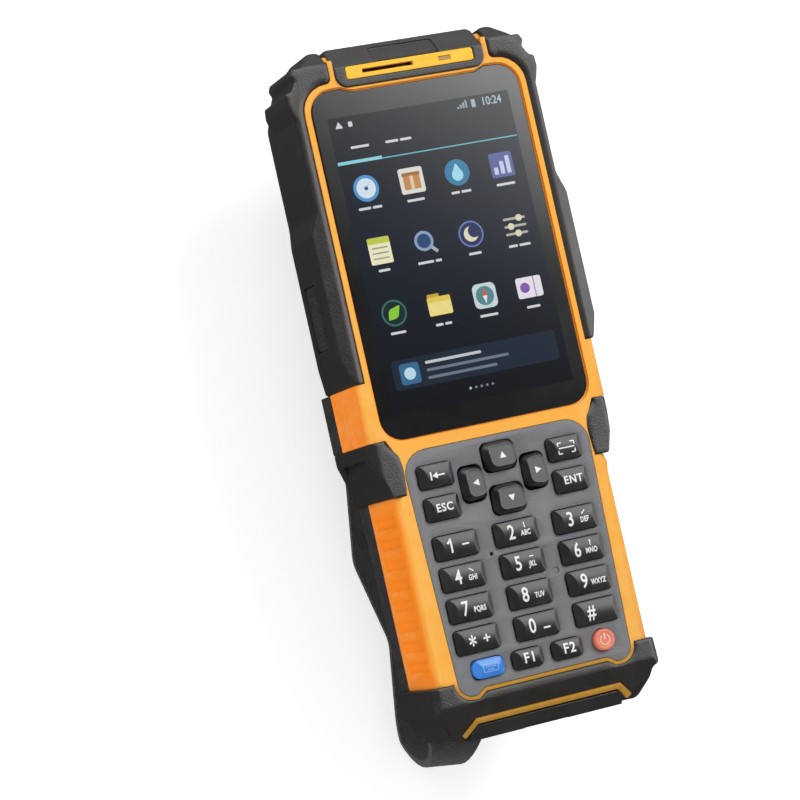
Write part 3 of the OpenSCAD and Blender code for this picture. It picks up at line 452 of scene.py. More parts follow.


# The amber's side colour is painted shade on the case's sides.
AMBER = Finish("amber_plastic", "#FDB44C", flank="#FF8A16", low="#B9872E", roughness=0.5, grain=5200.0, depth=0.000008,
               edge="#FFD392", wear=0.25, dust=0.02, shade=0.04, ior=1.22)
SHELL = Finish("dark_plastic", "#242425", roughness=0.5, grain=3600.0, depth=0.00003, edge="#5C5C5C", wear=0.3,
               dust=0.03, shade=0.06)
RUBBER = Finish("rubber", "#211F1E", roughness=0.42, grain=3000.0, depth=0.0001, edge="#3C3C3E", wear=0.3, dust=0.03,
                shade=0.06, ior=1.6)
BUTTON_RUBBER = Finish("button_rubber", "#2A2A2B", roughness=0.7, grain=4200.0, depth=0.00003, edge="#565656", wear=0.3)
PANEL = Finish("panel_grey", "#77777A", roughness=0.5, grain=3200.0, depth=0.0001, edge="#8C8C8E", wear=0.25,
               dust=0.02, shade=0.05)
KEY = Finish("key_black", "#1C1C1E", roughness=0.34, spread=0.05, grain=5200.0, depth=0.000004, edge="#55555A",
             wear=0.25, dust=0.03, ior=1.6)
KEY_BLUE = Finish("key_blue", "#3A8AE8", roughness=0.22, spread=0.05, grain=5200.0, depth=0.000003, edge="#9CC4F2",
                  wear=0.2, dust=0.02, ior=1.6)
KEY_SALMON = Finish("key_salmon", "#E88468", roughness=0.35, spread=0.05, grain=5200.0, depth=0.000004, edge="#F6C4B4",
                    wear=0.2, dust=0.02)
LEGEND = Finish("white_print", "#F2F2F0", roughness=0.5, grain=5200.0, depth=0.000003, edge="#FFFFFF", wear=0.0,
                dust=0.06, shade=0.06)
STEEL = Finish("steel", "#A9ABAE", roughness=0.34, grain=2600.0, depth=0.00001, edge="#E6E6E6", wear=0.3, metallic=1.0)
SILICONE = Finish("silicone", "#2C2C2D", roughness=0.6, grain=2600.0, depth=0.00002, edge="#48484A", wear=0.1)
COMPONENT = Finish("component_black", "#1C1C1D", roughness=0.5, grain=3000.0, depth=0.00002, edge="#4A4A4C", wear=0.2)
CLEAR = Finish("clear_plastic", "#B58A4A", roughness=0.25, grain=3000.0, depth=0.000005, edge="#F2E6CC", wear=0.1,
               dust=0.02)
BOARD = Finish("circuit_board", "#1C5A38", roughness=0.4, grain=1800.0, depth=0.00002, edge="#7AA488", wear=0.2)
WRAP = Finish("battery_wrap", "#33363C", roughness=0.5, grain=1500.0, depth=0.00002, edge="#6C6E72", wear=0.2)
WINDOW = Finish("window_red", "#3A0A10", roughness=0.12, spread=0.04, grain=1200.0, depth=0.000002, edge="#8A3038",
                wear=0.1, dust=0.04)
# The insert's side colour is painted shade on its sides.
INSERT = Finish("insert_plastic", "#FFC63A", flank="#F2A21C", roughness=0.4, grain=5200.0, depth=0.000006,
                edge="#FFE29A", wear=0.2, dust=0.01, shade=0.03, ior=1.3)
GLASS = Glass("screen_glass")
LENS = Glass("lens_glass", colour="#050608", roughness=0.06, ior=1.5)
DISPLAY = Finish("display", "#10131A", roughness=0.2, spread=0.04, grain=1500.0, depth=0.000002, edge="#30343C",
                 wear=0.1)
PICTURE = Picture()
WEBBING = Webbing()
PALE_INK = replace(LEGEND, name="pale_print", colour="#F6D8CC", roughness=0.4, dust=0.02, shade=0.05)
BLUE_INK = replace(PALE_INK, name="light_blue_print", colour="#8FB6E6")

BY_SLOT = {f.name: f for f in (AMBER, SHELL, RUBBER, BUTTON_RUBBER, PANEL, KEY, KEY_BLUE, KEY_SALMON, STEEL, SILICONE,
                               COMPONENT, CLEAR, BOARD, WRAP, WINDOW, GLASS, LENS, DISPLAY, WEBBING)}


# ---------------------------------------------------------------- modelling


def whole(bm: BMesh) -> list:
    """Lists everything in a mesh."""
    return bm.verts[:] + bm.edges[:] + bm.faces[:]


def rolled(bm: BMesh, geom: Sequence, width: float, segments: int, affect: str = "EDGES",
           clamp: bool = False) -> BMesh:
    """Rolls edges or corners over.

    Args:
        bm: the mesh.
        geom: its edges or vertices to roll.
        width: how far the rounding reaches.
        segments: steps in the rounding.
        affect: EDGES or VERTICES.
        clamp: whether the roundings stop where they would meet.

    Returns:
        The same mesh.
    """
    bmesh.ops.bevel(bm, geom=list(geom), offset=width, offset_type="OFFSET", segments=segments, profile=0.5,
                    affect=affect, clamp_overlap=clamp, material=-1)
    return bm


def rounded_face(corners: Sequence[Corner], z: float = 0.0, segments: int = 6) -> BMesh:
    """Makes one flat face with rounded corners.

    Args:
        corners: x, y and corner radius of each point, in order.
        z: the face's height.
        segments: steps in each rounded corner.

    Returns:
        A mesh that holds the face.
    """
    bm = bmesh.new()
    verts = [bm.verts.new((x, y, z)) for x, y, _ in corners]
    bm.faces.new(verts)
    for i, (x, y, radius) in enumerate(corners):
        if radius <= 0:
            continue
        here = Vector((x, y))
        before = Vector(corners[i - 1][:2]) - here
        after = Vector(corners[(i + 1) % len(corners)][:2]) - here
        reach = radius / math.tan(before.angle(after) / 2)
        rolled(bm, [verts[i]], reach, segments, "VERTICES")
    bmesh.ops.recalc_face_normals(bm, faces=bm.faces)
    return bm


def raised(bm: BMesh, height: float) -> BMesh:
    """Raises a flat face into a closed block and returns it.

    Args:
        bm: the flat face.
        height: how far the face is raised.

    Returns:
        The closed block.
    """
    grown = bmesh.ops.extrude_face_region(bm, geom=bm.faces[:])
    bmesh.ops.translate(bm, vec=(0, 0, height), verts=[v for v in grown["geom"] if isinstance(v, bmesh.types.BMVert)])
    bmesh.ops.recalc_face_normals(bm, faces=bm.faces)
    return bm


def block(corners: Sequence[Corner], low: float, high: float, segments: int = 6) -> BMesh:
    """Makes a closed block with a rounded outline between two heights."""
    return raised(rounded_face(corners, low, segments), high - low)


def rect(x0: float, x1: float, y0: float, y1: float, radius: float = 0.0) -> list[Corner]:
    """Lists the corners of an upright rectangle with one corner radius."""
    return [(x0, y0, radius), (x1, y0, radius), (x1, y1, radius), (x0, y1, radius)]


def eased(bm: BMesh, width: float, segments: int = 2, angle: float = 28.0,
          keep_low: float | None = None) -> BMesh:
    """Rounds a mesh's sharp edges.

    Args:
        bm: the mesh.
        width: how far the rounding reaches.
        segments: steps in each rounding.
        angle: edges that turn less than this, in degrees, stay.
        keep_low: edges wholly below this height stay sharp.

    Returns:
        The same mesh.
    """
    sharp = [e for e in bm.edges if len(e.link_faces) == 2 and e.calc_face_angle(0.0) > math.radians(angle)
             and (keep_low is None or max(v.co.z for v in e.verts) > keep_low)]
    return rolled(bm, sharp, width, segments, clamp=True)


def top_face(bm: BMesh) -> bmesh.types.BMFace:
    """Finds a mesh's highest face."""
    return max(bm.faces, key=lambda f: f.calc_center_median().z)


def top_edges(bm: BMesh) -> Edges:
    """Lists the edges round a block's top."""
    high = max(v.co.z for v in bm.verts)
    return [e for e in bm.edges if all(v.co.z > high - 0.01 for v in e.verts) and e.calc_face_angle(0.0) > 0.3]


def merged(target: BMesh, *others: BMesh) -> BMesh:
    """Adds other meshes to the first one, frees them and returns it.

    Args:
        target: the mesh that the others join.
        others: the meshes that are added and freed.

    Returns:
        The first mesh.
    """
    for other in others:
        spare = bpy.data.meshes.new("spare")
        other.to_mesh(spare)
        other.free()
        target.from_mesh(spare)
        bpy.data.meshes.remove(spare)
    return target


def cut_off(bm: BMesh, *planes: Plane) -> BMesh:
    """Cuts away what lies outside planes, each a point and an outward normal, closes the cuts and returns the mesh.

    Args:
        bm: the mesh, in millimetres.
        planes: pairs of a point and an outward normal.

    Returns:
        The mesh.
    """
    for point, normal in planes:
        cut = bmesh.ops.bisect_plane(bm, geom=whole(bm), dist=1e-5, plane_co=point, plane_no=normal, clear_outer=True)
        ring = [e for e in cut["geom_cut"] if isinstance(e, bmesh.types.BMEdge)]
        if ring:
            bmesh.ops.contextual_create(bm, geom=ring)
            bmesh.ops.recalc_face_normals(bm, faces=bm.faces)
    return bm


def sliced(bm: BMesh, low: float, high: float, step: float) -> None:
    """Cuts a mesh across its y at even steps, so that it can bend or change colour between them.

    Args:
        bm: the mesh, in millimetres.
        low: where the cuts start.
        high: where the cuts end.
        step: the distance between two cuts.
    """
    y = low + step
    while y < high:
        bmesh.ops.bisect_plane(bm, geom=whole(bm), dist=1e-5, plane_co=(0, y, 0), plane_no=(0, 1, 0))
        y += step


def handed(bm: BMesh, side: int) -> BMesh:
    """Mirrors a right-hand mesh where the side is -1, and returns it.

    Args:
        bm: the right-hand mesh.
        side: 1 for the right hand, -1 for the left.

    Returns:
        The mesh.
    """
    if side < 0:
        bmesh.ops.scale(bm, vec=(-1.0, 1.0, 1.0), verts=bm.verts)
        bmesh.ops.reverse_faces(bm, faces=bm.faces)
    return bm


def placed(bm: BMesh, name: str = "spare") -> bpy.types.Object:
    """Puts a mesh in the scene as an object, and frees it.

    Args:
        bm: the mesh, in millimetres.
        name: the object's name.

    Returns:
        The object.
    """
    mesh = bpy.data.meshes.new(name)
    bm.to_mesh(mesh)
    bm.free()
    obj = bpy.data.objects.new(name, mesh)
    bpy.context.scene.collection.objects.link(obj)
    return obj


def finished(obj: bpy.types.Object, *helpers: bpy.types.Object) -> BMesh:
    """Takes a spare object's shape with its modifiers, and removes it and its helpers.

    Args:
        obj: the spare object.
        helpers: the objects that its modifiers use.

    Returns:
        The shape.
    """
    done = bpy.data.meshes.new_from_object(obj.evaluated_get(bpy.context.evaluated_depsgraph_get()))
    bm = bmesh.new()
    bm.from_mesh(done)
    bpy.data.meshes.remove(done)
    for spare in (obj, *helpers):
        store = bpy.data.curves if spare.type == "FONT" else bpy.data.meshes
        data = spare.data
        bpy.data.objects.remove(spare)
        store.remove(data)
    return bm


def moulded(bm: BMesh, voxel: float, rounds: int) -> BMesh:
    """Fuses overlapping solids into one soft-edged skin.

    Args:
        bm: closed solids in millimetres.
        voxel: size of the skin's cells.
        rounds: how often the skin is smoothed.

    Returns:
        The skin.
    """
    obj = placed(bm)
    cells = obj.modifiers.new("cells", "REMESH")
    cells.mode = "VOXEL"
    cells.voxel_size = voxel
    cells.adaptivity = 0.0
    skin = finished(obj)
    for _ in range(rounds):
        bmesh.ops.smooth_vert(skin, verts=skin.verts, factor=0.5, use_axis_x=True, use_axis_y=True, use_axis_z=True)
    return skin


def carved(bm: BMesh, cutter: BMesh) -> BMesh:
    """Cuts one closed solid out of another and returns what is left.

    Args:
        bm: the closed solid that is cut.
        cutter: the closed solid that is cut away.

    Returns:
        What is left.
    """
    obj, tool = placed(bm), placed(cutter)
    cut = obj.modifiers.new("cut", "BOOLEAN")
    cut.operation = "DIFFERENCE"
    cut.solver = "EXACT"
    cut.object = tool
    return finished(obj, tool)


def lettering(text: str, x: float, y: float, size: float, narrow: float = 0.82, bold: float = 0.0,
              spread: float = 1.0) -> BMesh:
    """Makes thin solid letters about z = 0.

    Args:
        text: what they say.
        x: their middle.
        y: their middle's height on the piece.
        size: the type's size in millimetres.
        narrow: how much they are narrowed.
        bold: how far their strokes are thickened, in millimetres.
        spread: how far apart they are set.

    Returns:
        The letters.
    """
    curve = bpy.data.curves.new("lettering", "FONT")
    curve.body = text
    curve.size = size
    curve.align_x = "CENTER"
    curve.align_y = "CENTER"
    curve.extrude = PRINT
    curve.offset = bold
    curve.space_character = spread
    curve.resolution_u = 4
    obj = bpy.data.objects.new("lettering", curve)
    bpy.context.scene.collection.objects.link(obj)
    bm = finished(obj)
    bmesh.ops.remove_doubles(bm, verts=bm.verts, dist=1e-5)
    bmesh.ops.scale(bm, vec=(narrow, 1, 1), verts=bm.verts)
    bmesh.ops.translate(bm, vec=(x, y, 0), verts=bm.verts)
    return bm


def inked(corners: Sequence[Corner]) -> BMesh:
    """Makes one thin solid printed shape."""
    return block(corners, -PRINT, PRINT, 3)


def stroke(x0: float, y0: float, x1: float, y1: float, width: float) -> BMesh:
    """Makes one thin straight stroke between two points.

    Args:
        x0: place of the first point, across.
        y0: place of the first point, along.
        x1: place of the second point, across.
        y1: place of the second point, along.
        width: the stroke's width.

    Returns:
        The stroke.
    """
    way = Vector((x1 - x0, y1 - y0)).normalized() * width / 2
    nx, ny = -way.y, way.x
    return inked([(x0 - nx, y0 - ny, 0), (x1 - nx, y1 - ny, 0), (x1 + nx, y1 + ny, 0), (x0 + nx, y0 + ny, 0)])


class Workshop:
    """Takes CAD shapes in, and places, dresses and reports finished pieces."""

    def __init__(self) -> None:
        """Finds where the middle of the screen is in the frame."""
        low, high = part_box("touch_glass")
        self.place = Matrix.Translation((0.0, low.y + GLASS_LOW, high.z)) @ Matrix.Scale(0.001, 4)
        self.slots = {s["node"]: s["material_slot"] for s in frame["record"]["subparts"]}

    def box(self, node: str) -> tuple[Vector, Vector]:
        """Returns a CAD node's lowest and highest corner in millimetres.

        Args:
            node: the name of the CAD node.

        Returns:
            The lowest and the highest corner.
        """
        low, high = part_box(node)
        back = self.place.inverted()
        return back @ low, back @ high

    def copy_of(self, node: str) -> BMesh:
        """Copies a CAD node in millimetres, with its flat faces joined.

        Args:
            node: the name of the CAD node.

        Returns:
            The copy.
        """
        bm = bmesh.new()
        bm.from_mesh(frame["nodes"][node].data)
        bmesh.ops.transform(bm, matrix=self.place.inverted(), verts=bm.verts)
        bmesh.ops.remove_doubles(bm, verts=bm.verts, dist=1e-3)
        bmesh.ops.dissolve_limit(bm, angle_limit=FLAT, use_dissolve_boundaries=False, verts=bm.verts,
                                 edges=bm.edges, delimit=set())
        return bm

    def shade(self, bm: BMesh) -> None:
        """Shades a mesh smooth, except large faces that only meet narrow roundings.

        Args:
            bm: the mesh, in millimetres.
        """
        areas = {f: f.calc_area() for f in bm.faces}
        for face, area in areas.items():
            near = (e for e in face.edges if len(e.link_faces) == 2 and e.calc_face_angle(0.0) < BEND)
            wide = any(areas[f] > area / 6 for e in near for f in e.link_faces if f is not face)
            face.smooth = area < LARGE or wide

    def piece(self, name: str, bm: BMesh, finish: Look, node: str, replaces: Sequence[str] = (),
              angle: float = 35.0, tie: bool = True) -> None:
        """Places a finished mesh and ties it to the frame.

        Args:
            name: the piece's name.
            bm: the mesh in millimetres, which is freed.
            finish: what its surface is.
            node: the CAD node that it belongs with, for its body.
            replaces: CAD nodes that it stands for.
            angle: edges that turn more than this, in degrees, shade sharp.
            tie: not used.
        """
        self.shade(bm)
        bmesh.ops.transform(bm, matrix=self.place, verts=bm.verts)
        open_edges = sum(1 for e in bm.edges if len(e.link_faces) != 2)
        obj = placed(bm, name)
        mesh = obj.data
        # Marking the sharp edges shades every face smooth, so the flat ones are put back after it.
        smooth = [polygon.use_smooth for polygon in mesh.polygons]
        mesh.set_sharp_from_angle(angle=math.radians(angle))
        mesh.polygons.foreach_set("use_smooth", smooth)
        mesh.materials.append(finish.material())
        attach(obj, frame["nodes"][node]["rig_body"])
        if replaces:
            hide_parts(*replaces)
        triangles = sum(len(p.vertices) - 2 for p in mesh.polygons)
        LOG.info("%s: %d triangles, %d open edges", name, triangles, open_edges)

    def dress(self, *nodes: str) -> None:
        """Gives CAD nodes their slot's finish.

        Args:
            nodes: the names of the CAD nodes.
        """
        for name in nodes:
            obj = frame["nodes"][name]
            obj.data.materials.clear()
            obj.data.materials.append(BY_SLOT[self.slots[name]].material())
            LOG.info("%s: CAD node dressed as %s", name, self.slots[name])


# ---------------------------------------------------------------- pieces


@dataclass(frozen=True)
class Roll:
    """A rounding of the long edges that lie between two distances from the middle."""

    low: float
    high: float
    width: float
    steps: int


@dataclass
class Housings:
    """Front and rear shells with what shows of their fittings.

    Front and back are the heights of the shells' long edges. A fitting is a
    CAD node, its finish and how far its edges are rounded.
    """

    shop: Workshop
    front: float = 0.3
    back: float = -28.0
    edge: float = 0.22
    front_rolls: tuple[Roll, ...] = (Roll(28.4, 28.6, 2.2, 7), Roll(31.5, 33.0, 2.0, 7))
    back_rolls: tuple[Roll, ...] = (Roll(28.3, 31.0, 2.4, 6), Roll(31.0, 33.0, 1.0, 4))
    fittings: tuple[tuple[str, Look, float], ...] = (
        ("receiver_strip", INSERT, 0.4), ("battery_door", SHELL, 0.3), ("keypad_panel", PANEL, 0.3),
        ("scan_window", WINDOW, 0.2), ("camera_window", LENS, 0.15), ("strap_buckle", SHELL, 0.3),
        ("light_pipe", CLEAR, 0.1), ("port_cover", RUBBER, 0.5), ("housing_screws", STEEL, 0.12))

    def shell(self, node: str, finish: Look, z: float, rolls: Sequence[Roll]) -> None:
        """Makes one shell with rolled sides and moulded edges.

        Args:
            node: its CAD node.
            finish: what its surface is.
            z: the height of its long edges.
            rolls: their roundings, from the narrow part to the wide one.
        """
        bm = self.shop.copy_of(node)
        for roll in rolls:
            sides = [e for e in bm.edges if e.calc_face_angle(0.0) > 1.0
                     and abs(e.verts[0].co.x - e.verts[1].co.x) < 0.02
                     and all(abs(v.co.z - z) < 0.02 and roll.low < abs(v.co.x) < roll.high for v in e.verts)]
            rolled(bm, sides, roll.width, roll.steps)
        self.shop.piece(node.replace("housing", "shell"), eased(bm, self.edge), finish, node, [node], angle=30)

    def build(self) -> None:
        """Makes the shells, then their fittings from the speaker's strip to the screws."""
        self.shell("front_housing", AMBER, self.front, self.front_rolls)
        self.shell("rear_housing", SHELL, self.back, self.back_rolls)
        for node, finish, width in self.fittings:
            self.shop.piece(f"{node}_shell", eased(self.shop.copy_of(node), width), finish, node, [node])


@dataclass
class Armour:
    """Rubber bumpers, hood, pads and foot, moulded over the shells.

    Outlines are those of the right side, as x, y and corner radius. Cuts are
    planes that trim them, each a point and an outward normal.
    """

    shop: Workshop
    voxel: float = 0.3
    fine_voxel: float = 0.28
    hood_voxel: float = 0.26
    back: float = -26.0
    lug_back: float = -18.0
    top: float = 0.8
    outline: tuple[Corner, ...] = (
        (21.35, 44.95, 1.35), (21.35, 53.6, 1.2), (24.5, 53.7, 1.8), (30.0, 48.6, 2.0), (31.9, 44.0, 2.0),
        (32.4, 37.2, 3.0), (32.3, 14.0, 3.0), (34.3, 9.0, 3.0), (34.3, -22.4, 4.0), (32.3, -28.45, 0.6),
        (29.65, -28.45, 0.0), (29.65, 44.95, 6.95))
    lugs: tuple[Corner, ...] = (
        (26.4, 47.5, 0.3), (28.1, 49.95, 0.5), (30.5, 50.05, 0.5), (31.45, 48.3, 0.4), (30.7, 46.8, 0.2),
        (31.75, 44.6, 0.2), (33.4, 44.2, 0.5), (33.65, 41.4, 1.2), (32.35, 36.9, 1.0), (30.5, 37.5, 0.5),
        (29.5, 43.5, 1.0))
    glass_side: float = 29.75
    glass_end: float = 45.05
    hood_side: float = 21.4
    low_end: float = -28.4
    rim_round: float = 1.3
    rim_slope: float = 1.35
    lug_round: float = 0.8
    body_cuts: tuple[Plane, ...] = (((31.2, 0.0, 0.8), (0.42, 0.0, 0.9)), ((30.6, 47.0, -16.0), (0.7, 0.6, -0.55)))
    side_cuts: tuple[Plane, ...] = (((34.3, 0.0, -18.0), (2.1, 0.0, -1.0)), ((0.0, 49.6, 0.9), (0.0, 0.72, 0.69)))
    pad: tuple[Corner, ...] = (
        (32.4, -43.1, 0.4), (28.4, -43.1, 1.2), (25.0, -46.9, 1.3), (24.5, -49.4, 1.0), (25.35, -57.0, 0.5),
        (29.15, -57.0, 0.2), (32.4, -46.2, 0.6))
    pad_side: tuple[Corner, ...] = (
        (28.25, -57.0, 0.0), (29.2, -57.0, 0.3), (32.45, -46.0, 1.0), (32.45, -43.05, 0.3), (28.25, -43.05, 0.0))
    pad_cuts: tuple[Plane, ...] = (((30.3, 0, 0.8), (0.5, 0, 0.87)), ((31.9, 0, -1.4), (0.87, 0, 0.5)))
    pad_slope: float = 1.3
    groove: tuple[float, ...] = (-1.2, 1.2, -4.0, 4.0, 0.4)
    groove_depth: tuple[float, float] = (-21.5, -4.5)
    groove_spot: Corner = (33.0, -50.5, 0.0)
    groove_turn: float = 12.0
    hood_cuts: tuple[Plane, ...] = (((-19.0, 54.2, 0), (-1, 1, 0)), ((19.0, 54.2, 0), (1, 1, 0)))
    button_gap: float = 0.15
    button_reach: float = 3.0
    button_round: float = 0.35
    dot_margin: float = 3.0
    dot_rows: int = 4
    dot_pitch: float = 1.25
    dot_radius: float = 0.4

    def _inner(self, edges: Edges) -> Edges:
        """Keeps the edges that run along the glass and the hood."""
        return [e for e in edges if all(
            v.co.x < self.glass_side and v.co.y < self.glass_end or v.co.x < self.hood_side for v in e.verts)]

    def bumper(self, side: int) -> None:
        """Makes one side bumper with its lumpy corner and its button's opening.

        Args:
            side: -1 for the left, 1 for the right.
        """
        bm = block(self.outline, self.back, self.top, 8)
        rim = top_edges(bm)
        sharp = self._inner(rim) + [e for e in rim if all(v.co.y < self.low_end for v in e.verts)]
        rolled(bm, [e for e in rim if e not in sharp], self.rim_round, 4)
        self._slope(bm, self._inner(top_edges(bm)), self.rim_slope)
        cut_off(bm, *self.body_cuts)
        lugs = block(self.lugs, self.lug_back, self.top - 0.1, 3)
        rolled(lugs, top_edges(lugs), self.lug_round, 3)
        skin = moulded(merged(cut_off(bm, *self.side_cuts), cut_off(lugs, *self.side_cuts)), self.voxel, 6)
        low, high = self.shop.box(f"scan_button_{SIDES[side]}")
        x0, x1 = (low.x - self.button_reach, high.x) if side < 0 else (low.x, high.x + self.button_reach)
        gap = self.button_gap
        hole = block(rect(x0, x1, low.y - gap, high.y + gap, 1.0), low.z - gap, high.z + gap)
        name = f"bumper_{SIDES[side]}"
        self.shop.piece(f"{name}_skin", carved(handed(skin, side), hole), RUBBER, name, [name], angle=50)

    def _slope(self, bm: BMesh, edges: Edges, width: float, stretch: float = 1.8) -> None:
        """Cuts a gentle slope along edges, less deep than it is wide by the stretch.

        Args:
            bm: the mesh, in millimetres.
            edges: the edges that are cut.
            width: how wide the slope is.
            stretch: how many times wider than deep the slope is.
        """
        bmesh.ops.scale(bm, vec=(1.0, 1.0, stretch), verts=bm.verts)
        rolled(bm, edges, width, 1)
        bmesh.ops.scale(bm, vec=(1.0, 1.0, 1 / stretch), verts=bm.verts)

    def grip_pad(self, side: int) -> None:
        """Makes one pad below a shoulder, with a sloped inner border and a grooved side.

        Args:
            side: -1 for the left, 1 for the right.
        """
        flap = block(self.pad, -2.0, self.top, 5)
        inner = [e for e in top_edges(flap) if all(v.co.x < 28.6 and v.co.y > -56.3 for v in e.verts)]
        self._slope(flap, inner, self.pad_slope, 1.9)
        wall = block(self.pad_side, self.back, self.top, 4)
        skin = moulded(merged(cut_off(flap, *self.pad_cuts), cut_off(wall, *self.pad_cuts)), self.fine_voxel, 3)
        groove = block(rect(*self.groove), *self.groove_depth)
        turn = Matrix.Rotation(math.radians(self.groove_turn), 3, "Z")
        bmesh.ops.rotate(groove, matrix=turn, verts=groove.verts)
        bmesh.ops.translate(groove, vec=self.groove_spot, verts=groove.verts)
        name = f"grip_pad_{SIDES[side]}"
        self.shop.piece(f"{name}_skin", handed(carved(skin, groove), side), RUBBER, name, [name], angle=50)

    def side_button(self, side: int) -> None:
        """Makes one side button with raised dots on its face.

        Args:
            side: -1 for the left, 1 for the right.
        """
        node = f"scan_button_{SIDES[side]}"
        bm = eased(self.shop.copy_of(node), self.button_round, 3)
        low, high = self.shop.box(node)
        face = (low.x if side < 0 else high.x) - side * self.dot_radius / 2
        columns = int((high.y - low.y - self.dot_margin) / self.dot_pitch)
        for i in range(columns + 1):
            for j in range(self.dot_rows):
                y = (low.y + high.y) / 2 + (i - columns / 2) * self.dot_pitch
                z = (low.z + high.z) / 2 + (j - (self.dot_rows - 1) / 2) * self.dot_pitch
                dot = bmesh.new()
                bmesh.ops.create_icosphere(dot, subdivisions=1, radius=self.dot_radius,
                                           matrix=Matrix.Translation((face, y, z)))
                merged(bm, dot)
        self.shop.piece(f"{node}_cap", bm, BUTTON_RUBBER, node, [node], angle=50)

    def soft_copy(self, node: str, rounds: int, voxel: float, *cuts: Plane) -> None:
        """Moulds a CAD node's shape with soft edges.

        Args:
            node: the CAD node.
            rounds: how often its skin is smoothed.
            voxel: size of the skin's cells.
            cuts: planes that trim it first.
        """
        skin = moulded(cut_off(self.shop.copy_of(node), *cuts), voxel, rounds)
        self.shop.piece(f"{node}_skin", skin, RUBBER, node, [node], angle=60)

    def build(self) -> None:
        """Makes every rubber piece."""
        for side in SIDES:
            self.bumper(side)
            self.side_button(side)
            self.grip_pad(side)
        self.soft_copy("scanner_hood", 3, self.hood_voxel, *self.hood_cuts)
        self.soft_copy("bottom_bumper", 7, self.fine_voxel)


class Cap(Enum):
    """Shapes of a key's cap."""

    ROOF = "roof"
    TOWER = "tower"
    DOME = "dome"


